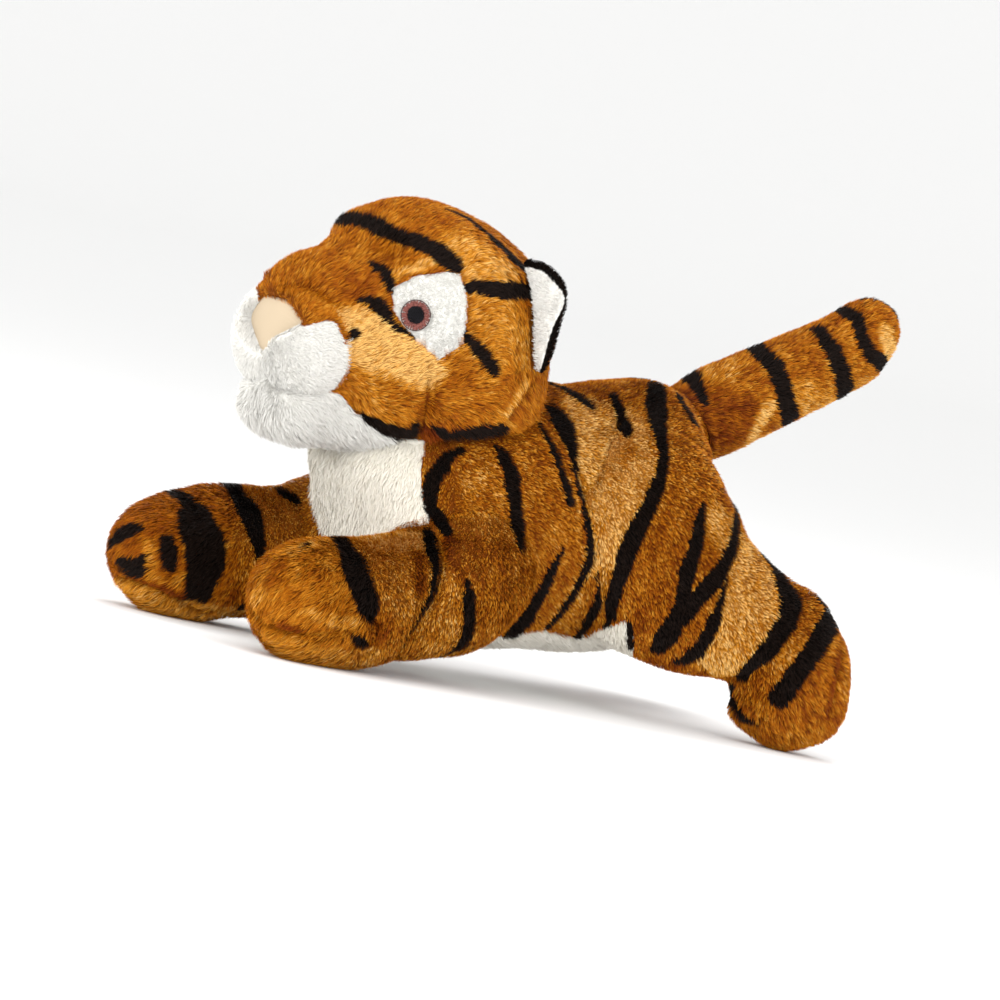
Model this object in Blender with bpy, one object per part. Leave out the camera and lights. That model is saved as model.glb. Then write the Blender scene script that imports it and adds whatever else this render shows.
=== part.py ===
"""A plush tiger, sewn from covers and set-in panels around their fillings. Sizes are in metres.

The tiger faces -X and stands on the floor at Z = 0, and its left side is on -Y. Each soft form is
a loft: rings of points that swell and taper along it. Smaller forms are cut by the larger ones
that carry them, with room for the way that they bend.
"""

import math

import bmesh
import bpy
from mathutils import Matrix, Vector
from mathutils.bvhtree import BVHTree

# Fabric
PLUSH_WALL = 0.004
GAP = 0.0003
FILLING_GAP = 0.0009
THREAD_THICKNESS = 0.0006
SEAM_THREAD_RADIUS = 0.0007

# Body
BODY_LENGTH = 0.193
BODY_HEIGHT = 0.124
BODY_WIDTH = 0.116
BODY_FRONT = -0.085
BODY_MIDDLE = 0.078
BELLY_PANEL_HALF_WIDTH = 0.028
BELLY_PANEL_BACK_SHARE = 0.886
BELLY_PANEL_TOP = 0.050
CHEST_PANEL_HALF_WIDTH = 0.047
CHEST_PANEL_BACK_SHARE = 0.14

# Neck, where the head sits on a round seat of the body
NECK_PIVOT_SHARE = 0.2332
NECK_PIVOT_Z = 0.080
NECK_SEAT_RADIUS = 0.0585
NECK_LEAN = 30.0
NECK_THREAD_ANGLE = 33.0
NECK_ROOM = 0.0028
BENDING_ROOM = 0.0011

# Head
HEAD_LENGTH = 0.139
HEAD_HEIGHT = 0.102
HEAD_WIDTH = 0.106
HEAD_AHEAD = 0.018
HEAD_RISE = 0.080
HEAD_BACK = -0.052
HEAD_DIP = 17.7
HEAD_FULLNESS = 2.8
MUZZLE_FORWARD_SHARE = 0.525
MUZZLE_SIDEWAYS = 0.0135
MUZZLE_DROP = 0.0035
MUZZLE_LENGTH = 0.044
MUZZLE_WIDTH = 0.044
MUZZLE_HEIGHT = 0.042
NOSE_FORWARD_SHARE = 0.59
NOSE_RISE = 0.0035
NOSE_LENGTH = 0.029
NOSE_WIDTH = 0.034
NOSE_HEIGHT = 0.026
EYE_FORWARD_SHARE = 0.252
EYE_SIDE_SHARE = 0.396
EYE_RISE_SHARE = 0.088
EYE_PATCH_HEIGHT = 0.038
IRIS_RADIUS = 0.0065
PUPIL_RADIUS = 0.0036

# Ears
EAR_HEIGHT = 0.054
EAR_REACH = 0.020
EAR_THICKNESS = 0.011
EAR_BACK_SHARE = 0.189
EAR_SIDE_SHARE = 0.387
EAR_LINING_STEP = 0.0026
EAR_ROOM = 0.0014

# Front legs
FRONT_LEG_LENGTH = 0.148
FRONT_LEG_HEIGHT = 0.069
FRONT_LEG_WIDTH = 0.066
FRONT_LEG_START = 0.035
FRONT_LEG_OUT = 0.018
FRONT_HIP_SHARE = 0.2073
FRONT_HIP_SIDE_SHARE = 0.345
FRONT_HIP_Z = 0.047
FRONT_SOLE_TOP = 0.011
FRONT_SOLE_START = 0.045
FRONT_LEG_ROOM = 0.0020

# Hind legs
HIND_LEG_LENGTH = 0.165
HIND_LEG_HEIGHT = 0.103
HIND_LEG_WIDTH = 0.066
HIND_LEG_OUT = 0.032
HIND_LEG_DIP = 32.9
HIND_LEG_START = -0.051
HIND_LEG_RIGHT_LIFT = 22.0
HIND_HIP_SHARE = 0.7461
HIND_HIP_SIDE_SHARE = 0.31
HIND_HIP_Z = 0.080
HIND_SOLE_DEPTH = 0.013
HIND_LEG_ROOM = 0.0013

# Tail
TAIL_LENGTH = 0.137
TAIL_THICKNESS = 0.040
TAIL_ROOT_SHARE = 0.8782
TAIL_ROOT_Z = 0.1280
TAIL_START = -0.008
TAIL_RISE = 31.5
TAIL_BALL_RADIUS = 0.011

# How far each soft joint bends from rest, in degrees
HEAD_TURN = 15.0
HEAD_NOD_DOWN = 8.0
HEAD_NOD_UP = 4.0
LEG_SWING = 14.0
TAIL_WAG = 15.0
TAIL_LIFT = 10.0
EAR_FOLD = 18.0

# The tiger's middle, moved onto the origin
MIDDLE_X = 0.0193

# Ring and point counts
ROUND_POINTS = 26
LIMB_POINTS = 20
LINING_POINTS = 14
LIMB_LINING_POINTS = 12
BALL_RINGS = 12
ROOM_RINGS = 16
SMALL_BALL_POINTS = 18
SMALL_BALL_RINGS = 10
CIRCLE_POINTS = 20
THREAD_POINTS = 6

# Rows along the body: place, rise of the middle, half height and half width, as shares
BODY_SHARES = (
    (0.012, 0.020, 0.24, 0.30),
    (0.035, 0.030, 0.47, 0.52),
    (0.087, 0.016, 0.71, 0.74),
    (0.173, 0.008, 0.88, 0.91),
    (0.293, 0.000, 0.98, 0.98),
    (0.440, 0.000, 1.00, 0.98),
    (0.560, 0.016, 0.96, 0.92),
    (0.690, 0.048, 0.98, 0.99),
    (0.810, 0.080, 0.97, 1.00),
    (0.900, 0.080, 0.80, 0.86),
    (0.960, 0.072, 0.52, 0.60),
    (0.988, 0.068, 0.28, 0.34),
)

# Rows along the head: place, top, bottom and half width, as shares
HEAD_SHARES = (
    (0.029, 0.31, 0.51, 0.36),
    (0.086, 0.54, 0.98, 0.64),
    (0.173, 0.75, 1.37, 0.83),
    (0.288, 0.91, 1.61, 0.97),
    (0.410, 0.99, 1.69, 1.00),
    (0.518, 1.01, 1.57, 0.96),
    (0.604, 0.96, 1.39, 0.90),
    (0.683, 0.85, 1.22, 0.79),
    (0.770, 0.73, 1.08, 0.68),
    (0.849, 0.65, 0.97, 0.53),
    (0.914, 0.53, 0.86, 0.40),
    (0.957, 0.39, 0.75, 0.30),
    (0.987, 0.16, 0.43, 0.15),
)

# Rows along a front leg: place, way out, middle's height, half height and half width, as shares
FRONT_LEG_SHARES = (
    (0.025, 0.00, 0.70, 0.48, 0.48),
    (0.090, 0.00, 0.70, 0.80, 0.80),
    (0.180, 0.00, 0.69, 0.98, 1.00),
    (0.270, 0.11, 0.66, 0.99, 1.00),
    (0.360, 0.28, 0.58, 0.93, 0.91),
    (0.440, 0.44, 0.52, 0.87, 0.83),
    (0.530, 0.67, 0.465, 0.88, 0.82),
    (0.630, 0.83, 0.42, 0.87, 0.83),
    (0.750, 0.94, 0.395, 0.83, 0.83),
    (0.850, 1.00, 0.375, 0.77, 0.79),
    (0.930, 1.00, 0.37, 0.59, 0.61),
    (0.975, 1.00, 0.37, 0.34, 0.36),
)

# Rows along a hind leg: place, way out, top, bottom and half width, as shares
HIND_LEG_SHARES = (
    (0.030, 0.00, 0.47, 0.47, 0.48),
    (0.103, 0.00, 0.68, 0.74, 0.76),
    (0.200, 0.00, 0.82, 0.93, 0.94),
    (0.309, 0.00, 0.82, 0.99, 1.00),
    (0.406, 0.12, 0.70, 0.95, 1.00),
    (0.503, 0.30, 0.57, 0.82, 0.94),
    (0.600, 0.52, 0.55, 0.64, 0.86),
    (0.673, 0.70, 0.57, 0.48, 0.82),
    (0.727, 0.82, 0.62, 0.45, 0.82),
    (0.788, 0.94, 0.60, 0.64, 0.82),
    (0.855, 1.00, 0.56, 0.72, 0.79),
    (0.915, 1.00, 0.46, 0.66, 0.67),
    (0.964, 1.00, 0.27, 0.49, 0.44),
    (0.991, 1.00, 0.12, 0.25, 0.21),
)

# Rows along the tail: place and half thickness, as shares
TAIL_SHARES = (
    (0.020, 0.52),
    (0.080, 0.86),
    (0.200, 1.00),
    (0.380, 0.99),
    (0.560, 0.96),
    (0.740, 0.92),
    (0.880, 0.86),
    (0.955, 0.63),
    (0.988, 0.34),
)

# The edge of the white chin and throat, seen from the side: forwards and up, as shares of the head
CHIN_PANEL_SHARES = (
    (0.78, -0.14),
    (0.57, -0.21),
    (0.48, -0.24),
    (0.43, -0.33),
    (0.30, -0.41),
    (0.23, -0.53),
    (0.14, -0.74),
    (0.14, -1.30),
    (0.78, -1.30),
)

# The white patch around an eye, from the pupil: backwards and up, as shares of its height
EYE_PATCH_SHARES = (
    (-0.29, 0.22),
    (-0.09, 0.39),
    (0.26, 0.55),
    (0.41, 0.57),
    (0.54, 0.36),
    (0.62, -0.01),
    (0.59, -0.23),
    (0.40, -0.43),
    (0.27, -0.38),
    (-0.04, -0.21),
    (-0.23, -0.05),
    (-0.28, 0.09),
)

# Which way an eye looks: forwards, sideways and up
EYE_AIM_SHARES = (0.42, 0.80, 0.42)

# Which way an ear stands: its upright edge and its reach, each along X, outwards and up
EAR_UPRIGHT_SHARES = (-0.283, -0.195, 0.938)
EAR_REACH_SHARES = (0.25, 0.97, 0.00)

ACROSS = Vector((0, 1, 0))
UP = Vector((0, 0, 1))


def clear_scene():
    """Removes the objects that a new scene comes with."""
    for thing in list(bpy.data.objects):
        bpy.data.objects.remove(thing)


def new_object(name, points, faces):
    """An object with these points and faces, its faces turned outwards."""
    mesh = bpy.data.meshes.new(name)
    mesh.from_pydata([tuple(point) for point in points], [], faces)
    shape = bmesh.new()
    shape.from_mesh(mesh)
    bmesh.ops.recalc_face_normals(shape, faces=shape.faces)
    shape.to_mesh(mesh)
    shape.free()
    made = bpy.data.objects.new(name, mesh)
    bpy.context.scene.collection.objects.link(made)
    return made


def skin(name, rings, first_tip, last_tip):
    """A closed skin over rings that have the same number of points, drawn to a tip at each end."""
    count = len(rings[0])
    points = [point for ring in rings for point in ring] + [first_tip, last_tip]
    first, last = len(points) - 2, len(points) - 1
    faces = []
    for row in range(len(rings) - 1):
        for step in range(count):
            after = (step + 1) % count
            low, high = row * count, (row + 1) * count
            faces.append((low + step, low + after, high + after, high + step))
    end = (len(rings) - 1) * count
    for step in range(count):
        after = (step + 1) % count
        faces.append((first, after, step))
        faces.append((last, end + step, end + after))
    return new_object(name, points, faces)


def oval(centre, across, up, half_width, top, bottom, count, fullness=2):
    """Points round an oval whose upper and lower halves have heights of their own. The lower half
    is round at a fullness of 2, and squarer above that."""
    points = []
    for step in range(count):
        angle = math.tau * step / count
        aside, rise = math.cos(angle), math.sin(angle)
        if rise < 0:
            aside = math.copysign(abs(aside) ** (2 / fullness), aside)
            rise = -abs(rise) ** (2 / fullness) * bottom
        else:
            rise *= top
        points.append(centre + across * (half_width * aside) + up * rise)
    return points


def grown(source, distance, name="grown"):
    """A copy whose skin lies this far outside the source's, or inside it for a negative distance."""
    mesh = source.data.copy()
    shape = bmesh.new()
    shape.from_mesh(mesh)
    shape.normal_update()
    moves = [vert.normal * (distance * vert.calc_shell_factor()) for vert in shape.verts]
    for vert, move in zip(shape.verts, moves):
        vert.co += move
    shape.to_mesh(mesh)
    shape.free()
    made = bpy.data.objects.new(name, mesh)
    bpy.context.scene.collection.objects.link(made)
    return made


def copied(source, name="copy"):
    """A copy with a mesh of its own."""
    made = bpy.data.objects.new(name, source.data.copy())
    bpy.context.scene.collection.objects.link(made)
    return made


def mirrored(source, name):
    """A copy on the other side of the body, with its faces turned outwards again."""
    made = copied(source, name)
    made.data.transform(Matrix.Scale(-1, 4, ACROSS))
    made.data.flip_normals()
    return made


def drop(*helpers):
    """Removes helper shapes that are no longer needed."""
    for helper in helpers:
        bpy.data.objects.remove(helper)


def combine(target, operation, *tools):
    """Applies one Boolean after another to the target's own mesh."""
    for tool in tools:
        modifier = target.modifiers.new("combine", "BOOLEAN")
        modifier.operation = operation
        modifier.solver = "EXACT"
        modifier.object = tool
        bpy.context.view_layer.update()
        graph = bpy.context.evaluated_depsgraph_get()
        result = bpy.data.meshes.new_from_object(target.evaluated_get(graph))
        target.modifiers.clear()
        target.data = result
    return target


def cut(target, *tools):
    """Takes the tools away from the target."""
    return combine(target, "DIFFERENCE", *tools)


def keep_inside(target, *tools):
    """Keeps what the target shares with every tool."""
    return combine(target, "INTERSECT", *tools)


def whole(piece):
    """Drops the loose scraps that a cut leaves beside a piece."""
    shape = bmesh.new()
    shape.from_mesh(piece.data)
    left = set(shape.verts)
    groups = []
    while left:
        group, edge = set(), {left.pop()}
        while edge:
            group |= edge
            edge = {link.other_vert(vert) for vert in edge for link in vert.link_edges} - group
        left -= group
        groups.append(group)
    groups.sort(key=len)
    for group in groups[:-1]:
        bmesh.ops.delete(shape, geom=list(group), context="VERTS")
    shape.to_mesh(piece.data)
    shape.free()
    return piece


def ball(name, centre, axes, sizes, count, rows):
    """A ball stretched to a size along each of three axes, with its tips on the first one."""
    along, across, up = axes
    length, width, height = (size / 2 for size in sizes)
    rings = []
    for row in range(1, rows):
        angle = math.pi * row / rows
        middle = centre - along * (length * math.cos(angle))
        share = math.sin(angle)
        rings.append(oval(middle, across, up, width * share, height * share, height * share, count))
    return skin(name, rings, centre - along * length, centre + along * length)


def round_ball(name, centre, radius, count=ROUND_POINTS, rows=BALL_RINGS):
    """A sphere."""
    size = radius * 2
    return ball(name, centre, (Vector((1, 0, 0)), ACROSS, UP), (size, size, size), count, rows)


def prism(name, outline, centre, right, up, inwards, outwards):
    """An outline of (right, up) places, drawn out to both sides of its plane."""
    forward = right.cross(up)
    points = []
    for depth in (-inwards, outwards):
        points += [centre + right * across + up * rise + forward * depth for across, rise in outline]
    count = len(outline)
    faces = [tuple(range(count)), tuple(range(2 * count - 1, count - 1, -1))]
    for step in range(count):
        after = (step + 1) % count
        faces.append((step, after, count + after, count + step))
    return new_object(name, points, faces)


def widened(outline, distance):
    """An outline whose sides lie this far outside the first one's."""
    count = len(outline)
    around = sum(
        outline[step][0] * outline[(step + 1) % count][1]
        - outline[(step + 1) % count][0] * outline[step][1]
        for step in range(count)
    )
    turn = math.copysign(1, around)
    wider = []
    for step in range(count):
        here = Vector(outline[step])
        before = (here - Vector(outline[step - 1])).normalized()
        after = (Vector(outline[(step + 1) % count]) - here).normalized()
        side = Vector((before.y + after.y, -before.x - after.x)).normalized() * turn
        reach = distance / max(0.5, side.dot(Vector((before.y, -before.x)) * turn))
        wider.append(tuple(here + side * reach))
    return wider


def circle(radius):
    """An outline with the same distance from its centre all round."""
    angles = [math.tau * step / CIRCLE_POINTS for step in range(CIRCLE_POINTS)]
    return [(radius * math.cos(angle), radius * math.sin(angle)) for angle in angles]


def box(name, low, high):
    """A box between two corners."""
    outline = [(low.x, low.y), (high.x, low.y), (high.x, high.y), (low.x, high.y)]
    return prism(name, outline, Vector(), Vector((1, 0, 0)), ACROSS, -low.z, high.z)


def copies_on_the_right(pieces):
    """The right side's own copies of left pieces."""
    return [mirrored(piece, piece.name.replace("left", "right")) for piece in pieces]


def other_side_of(pieces):
    """Left pieces made into right ones."""
    made = copies_on_the_right(pieces)
    drop(*pieces)
    return made


def floor_block():
    """Everything under the floor, to cut the soles flat."""
    reach = BODY_LENGTH * 2
    return box("floor", Vector((-reach, -reach, -reach)), Vector((reach, reach, 0)))


def body_x(share):
    """The place along X at a share of the body's length, from its front."""
    return BODY_FRONT + BODY_LENGTH * share


def body_form(name, count):
    """The body: chest, ribs, waist and rump."""
    rings = []
    for place, rise, half_height, half_width in BODY_SHARES:
        centre = Vector((body_x(place), 0, BODY_MIDDLE + BODY_HEIGHT * rise))
        height = BODY_HEIGHT / 2 * half_height
        rings.append(oval(centre, ACROSS, UP, BODY_WIDTH / 2 * half_width, height, height, count))
    first = Vector((body_x(0), 0, BODY_MIDDLE + BODY_HEIGHT * BODY_SHARES[0][1]))
    last = Vector((body_x(1), 0, BODY_MIDDLE + BODY_HEIGHT * BODY_SHARES[-1][1]))
    return skin(name, rings, first, last)


def neck_pivot():
    """The centre of the round seat, about which the head nods and turns."""
    return Vector((body_x(NECK_PIVOT_SHARE), 0, NECK_PIVOT_Z))


def neck_axis():
    """The way from the body into the head, about which the head turns."""
    lean = math.radians(NECK_LEAN)
    return Vector((-math.sin(lean), 0, math.cos(lean)))


def head_frame():
    """Which way the head's front and its top face."""
    dip = math.radians(HEAD_DIP)
    return Vector((-math.cos(dip), 0, -math.sin(dip))), Vector((-math.sin(dip), 0, math.cos(dip)))


def head_place(forward, sideways, rise):
    """A place in the head, from its centre. The left side is on -Y."""
    front, top = head_frame()
    centre = neck_pivot() + Vector((-HEAD_AHEAD, 0, HEAD_RISE))
    return centre + front * forward - ACROSS * sideways + top * rise


def head_form(name, count):
    """The head: a round skull that narrows to the snout and spreads into the neck below."""
    front, top = head_frame()
    rings = []
    for place, rise, fall, half_width in HEAD_SHARES:
        centre = head_place(HEAD_BACK + HEAD_LENGTH * place, 0, 0)
        half_height = HEAD_HEIGHT / 2
        width = HEAD_WIDTH / 2 * half_width
        above, below = half_height * rise, half_height * fall
        rings.append(oval(centre, ACROSS, top, width, above, below, count, HEAD_FULLNESS))
    first = head_place(HEAD_BACK, 0, 0)
    last = head_place(HEAD_BACK + HEAD_LENGTH, 0, 0)
    return skin(name, rings, first, last)


def front_hip():
    """The middle of the left front leg's root, about which it swings."""
    return Vector((body_x(FRONT_HIP_SHARE), -BODY_WIDTH * FRONT_HIP_SIDE_SHARE, FRONT_HIP_Z))


def front_leg_form(name, count):
    """The left front leg: a round upper leg, a short forearm and a blunt paw."""
    rings = []
    for place, out, middle, half_height, half_width in FRONT_LEG_SHARES:
        centre = front_leg_place(place, out, middle)
        height = FRONT_LEG_HEIGHT / 2 * half_height
        rings.append(oval(centre, ACROSS, UP, FRONT_LEG_WIDTH / 2 * half_width, height, height, count))
    first = front_leg_place(0, FRONT_LEG_SHARES[0][1], FRONT_LEG_SHARES[0][2])
    last = front_leg_place(1, FRONT_LEG_SHARES[-1][1], FRONT_LEG_SHARES[-1][2])
    return skin(name, rings, first, last)


def front_leg_place(place, out, middle):
    """A place on the middle line of the left front leg."""
    return Vector((
        front_hip().x + FRONT_LEG_START - FRONT_LEG_LENGTH * place,
        front_hip().y - FRONT_LEG_OUT * out,
        FRONT_LEG_HEIGHT * middle,
    ))


def hind_hip():
    """The middle of the left hind leg's root, about which it swings."""
    return Vector((body_x(HIND_HIP_SHARE), -BODY_WIDTH * HIND_HIP_SIDE_SHARE, HIND_HIP_Z))


def hind_leg_frame():
    """Which way the hind leg runs, and its upper side."""
    dip = math.radians(HIND_LEG_DIP)
    return Vector((math.cos(dip), 0, -math.sin(dip))), Vector((math.sin(dip), 0, math.cos(dip)))


def hind_leg_place(place, out):
    """A place on the middle line of the left hind leg."""
    along, _ = hind_leg_frame()
    reach = HIND_LEG_START + HIND_LEG_LENGTH * place
    return hind_hip() + along * reach - ACROSS * (HIND_LEG_OUT * out)


def hind_leg_form(name, count):
    """The left hind leg: a wide thigh, a hock and a round foot that points back."""
    _, upper = hind_leg_frame()
    rings = []
    for place, out, rise, fall, half_width in HIND_LEG_SHARES:
        half_height = HIND_LEG_HEIGHT / 2
        width = HIND_LEG_WIDTH / 2 * half_width
        centre = hind_leg_place(place, out)
        rings.append(oval(centre, ACROSS, upper, width, half_height * rise, half_height * fall, count))
    first = hind_leg_place(0, HIND_LEG_SHARES[0][1])
    last = hind_leg_place(1, HIND_LEG_SHARES[-1][1])
    return skin(name, rings, first, last)


def tail_frame():
    """Which way the tail runs, and its upper side."""
    rise = math.radians(TAIL_RISE)
    return Vector((math.cos(rise), 0, math.sin(rise))), Vector((-math.sin(rise), 0, math.cos(rise)))


def tail_root():
    """The middle of the tail's root, about which it lifts and wags."""
    return Vector((body_x(TAIL_ROOT_SHARE), 0, TAIL_ROOT_Z))


def tail_form(name, count):
    """The tail: one straight roll with a blunt tip."""
    along, upper = tail_frame()
    start = tail_root() + along * TAIL_START
    rings = []
    for place, half_thickness in TAIL_SHARES:
        centre = start + along * (TAIL_LENGTH * place)
        thickness = TAIL_THICKNESS / 2 * half_thickness
        rings.append(oval(centre, ACROSS, upper, thickness, thickness, thickness, count))
    return skin(name, rings, start, start + along * TAIL_LENGTH)


def bending_room(carrier, pivot, pole, moves, extra, fineness=1):
    """The room that the carrier takes from a piece that bends about a pivot inside the carrier. In
    each direction it reaches as far as the carrier does from there in any of the piece's moves.
    A shallow pivot needs a finer room."""
    shape = bmesh.new()
    shape.from_mesh(carrier.data)
    tree = BVHTree.FromBMesh(shape)
    shape.free()
    turns = []
    for move in moves:
        turn = Matrix.Identity(3)
        for axis, angle in move:
            turn = Matrix.Rotation(math.radians(angle), 3, axis) @ turn
        turns.append(turn)
    outside = BODY_LENGTH * 2

    def farthest(direction):
        reaches = []
        for turn in turns:
            way = turn @ direction
            hit = tree.ray_cast(pivot + way * outside, -way)[0]
            reaches.append((hit - pivot).length)
        return pivot + direction * (max(reaches) + extra)

    side = pole.orthogonal().normalized()
    other = pole.cross(side)
    rings = []
    rows, count = ROOM_RINGS * fineness, ROUND_POINTS * fineness
    for row in range(1, rows):
        angle = math.pi * row / rows
        ring = []
        for step in range(count):
            around = math.tau * step / count
            outwards = side * math.cos(around) + other * math.sin(around)
            ring.append(farthest(outwards * math.sin(angle) - pole * math.cos(angle)))
        rings.append(ring)
    return skin("room", rings, farthest(-pole), farthest(pole))


def hinge_moves(axis, reach, steps):
    """Evenly spaced turns to both sides of rest."""
    return [[(axis, reach * step / steps)] for step in range(-steps, steps + 1)]


def paired_moves(first_axis, first_angles, second_axis, second_angles):
    """Every pair of turns about two axes, the second one made first."""
    return [
        [(second_axis, second), (first_axis, first)] for first in first_angles for second in second_angles
    ]


def material(name, colour, roughness):
    """A plain cloth or thread material."""
    made = bpy.data.materials.new(name)
    made.use_nodes = True
    shader = made.node_tree.nodes["Principled BSDF"]
    shader.inputs["Base Color"].default_value = (*colour, 1.0)
    shader.inputs["Roughness"].default_value = roughness
    shader.inputs["Metallic"].default_value = 0.0
    made.diffuse_color = (*colour, 1.0)
    return made


def orange_plush(name):
    """Golden orange plush."""
    return material(name + "_orange_plush", (0.52, 0.21, 0.045), 0.9)


def white_plush(name):
    """Warm white plush."""
    return material(name + "_white_plush", (0.80, 0.74, 0.64), 0.9)


def nose_velour(name):
    """Peach velour."""
    return material(name + "_peach_velour", (0.72, 0.36, 0.25), 0.8)


def iris_thread(name):
    """Dusty rose brown thread."""
    return material(name + "_rose_brown_thread", (0.23, 0.10, 0.08), 0.55)


def pupil_thread(name):
    """Nearly black thread."""
    return material(name + "_black_thread", (0.012, 0.010, 0.010), 0.5)


def seam_thread(name):
    """Brown sewing thread."""
    return material(name + "_sewing_thread", (0.20, 0.09, 0.03), 0.6)


def fibre(name):
    """White polyester fibre."""
    return material(name + "_polyester_fibre", (0.82, 0.82, 0.80), 1.0)


def finish(piece, name, look):
    """Gives a finished piece its name, material and smooth shading."""
    whole(piece)
    piece.name = name
    piece.data.name = name
    piece.data.materials.clear()
    piece.data.materials.append(look(name))
    for face in piece.data.polygons:
        face.use_smooth = True
        face.material_index = 0
    return piece


def joint_empty(name, place):
    """An empty on a joint's axis, which carries the pieces that move with it."""
    empty = bpy.data.objects.new(name, None)
    empty.location = place
    bpy.context.scene.collection.objects.link(empty)
    bpy.context.view_layer.update()
    return empty


def carry(empty, *pieces):
    """Hangs pieces on an empty without moving them."""
    for piece in pieces:
        piece.parent = empty
        piece.matrix_parent_inverse = empty.matrix_world.inverted()


def panel_region(name, extra):
    """The room of the pale panel: the chest from side to side, then a strip along the belly."""
    belly = BELLY_PANEL_HALF_WIDTH
    chest = CHEST_PANEL_HALF_WIDTH
    front = BODY_FRONT * 2
    chest_back, belly_back = body_x(CHEST_PANEL_BACK_SHARE), body_x(BELLY_PANEL_BACK_SHARE)
    plan = [
        (front, -chest), (chest_back, -chest), (chest_back + belly, -belly),
        (belly_back - belly, -belly), (belly_back, -belly / 2),
        (belly_back, belly / 2), (belly_back - belly, belly),
        (chest_back + belly, belly), (chest_back, chest), (front, chest),
    ]
    side = [
        (front, -BODY_HEIGHT), (BODY_LENGTH, -BODY_HEIGHT), (BODY_LENGTH, BELLY_PANEL_TOP),
        (chest_back + belly, BELLY_PANEL_TOP), (chest_back, BODY_HEIGHT * 2),
        (front, BODY_HEIGHT * 2),
    ]
    along = Vector((1, 0, 0))
    seen_from_above = prism(
        name, widened(plan, extra), Vector(), along, ACROSS, BODY_HEIGHT * 2, BODY_HEIGHT * 2
    )
    seen_from_the_side = prism("side", widened(side, extra), Vector(), along, UP, BODY_WIDTH, BODY_WIDTH)
    keep_inside(seen_from_above, seen_from_the_side)
    drop(seen_from_the_side)
    return seen_from_above


def make_body():
    """The body's cover with its pale panel, and the filling. Returns the form that cuts the rest."""
    body = body_form("torso_cover", ROUND_POINTS)
    seat = round_ball("seat", neck_pivot(), NECK_SEAT_RADIUS)
    combine(body, "UNION", seat)
    carrier = grown(body, GAP, "carrier")
    form = body_form("form", LINING_POINTS)
    lining = grown(form, -PLUSH_WALL)
    root = round_ball("root", tail_root(), TAIL_BALL_RADIUS + GAP, LIMB_POINTS, SMALL_BALL_RINGS)
    cut(body, lining, root)
    panel = copied(body)
    region, room = panel_region("region", 0), panel_region("room", GAP)
    keep_inside(panel, region)
    cut(body, room)
    filling = grown(form, -PLUSH_WALL - FILLING_GAP)
    cut(filling, root)
    drop(seat, form, lining, root, region, room)
    finish(body, "torso_cover", orange_plush)
    finish(panel, "belly_panel", white_plush)
    finish(filling, "torso_filling", fibre)
    return carrier


def eye_frame():
    """Where the left eye looks, with the backward and upward ways in its plane."""
    forward, sideways, rise = EYE_AIM_SHARES
    front, top = head_frame()
    aim = (front * forward - ACROSS * sideways + top * rise).normalized()
    back = UP.cross(aim).normalized()
    back = back if back.x > 0 else -back
    up = aim.cross(back)
    up = up if up.z > 0 else -up
    return aim, back, up


def make_eye(head, cover, lining):
    """Sets the left eye's patch into the cover, and sews the iris and the pupil onto it."""
    aim, back, up = eye_frame()
    centre = head_place(
        HEAD_LENGTH * EYE_FORWARD_SHARE, HEAD_WIDTH * EYE_SIDE_SHARE, HEAD_HEIGHT * EYE_RISE_SHARE
    )
    depth = EYE_PATCH_HEIGHT
    outline = [(EYE_PATCH_HEIGHT * a, EYE_PATCH_HEIGHT * b) for a, b in EYE_PATCH_SHARES]
    region = prism("region", outline, centre, back, up, depth, depth)
    room = prism("room", widened(outline, GAP), centre, back, up, depth, depth)
    patch = cut(copied(head), lining)
    keep_inside(patch, region)
    other_room = mirrored(room, "other_room")
    cut(cover, room, other_room)
    pieces = [finish(patch, "eye_patch_left", white_plush)]
    under = GAP
    for name, radius, look in (
        ("iris_left", IRIS_RADIUS, iris_thread),
        ("pupil_left", PUPIL_RADIUS, pupil_thread),
    ):
        disc = prism(name, circle(radius), centre, back, up, depth / 2, depth / 2)
        outer = grown(head, under + THREAD_THICKNESS)
        inner = grown(head, under)
        keep_inside(disc, outer)
        cut(disc, inner)
        drop(outer, inner)
        pieces.append(finish(disc, name, look))
        under += THREAD_THICKNESS + GAP
    drop(region, room, other_room)
    return pieces


def make_muzzle(head):
    """The two white lobes of the muzzle and the nose between them, each cut by what carries it."""
    front, top = head_frame()
    axes = (front, ACROSS, top)
    head_room = grown(head, GAP)
    reach = HEAD_LENGTH * 2
    other_side = box("other_side", Vector((-reach, -GAP / 2, -reach)), Vector((reach, reach, reach)))
    lobe = ball(
        "muzzle_left",
        head_place(HEAD_LENGTH * MUZZLE_FORWARD_SHARE, MUZZLE_SIDEWAYS, -MUZZLE_DROP), axes,
        (MUZZLE_LENGTH, MUZZLE_WIDTH, MUZZLE_HEIGHT), SMALL_BALL_POINTS, SMALL_BALL_RINGS,
    )
    lobe_room = grown(lobe, GAP)
    other_room = mirrored(lobe_room, "other_room")
    nose = ball(
        "nose", head_place(HEAD_LENGTH * NOSE_FORWARD_SHARE, 0, NOSE_RISE), axes,
        (NOSE_LENGTH, NOSE_WIDTH, NOSE_HEIGHT), SMALL_BALL_POINTS, SMALL_BALL_RINGS,
    )
    cut(lobe, head_room, other_side)
    cut(nose, lobe_room, other_room, head_room)
    drop(head_room, other_side, lobe_room, other_room)
    finish(lobe, "muzzle_left", white_plush)
    return [
        lobe,
        finish(mirrored(lobe, "muzzle_right"), "muzzle_right", white_plush),
        finish(nose, "nose", nose_velour),
    ]


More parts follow.
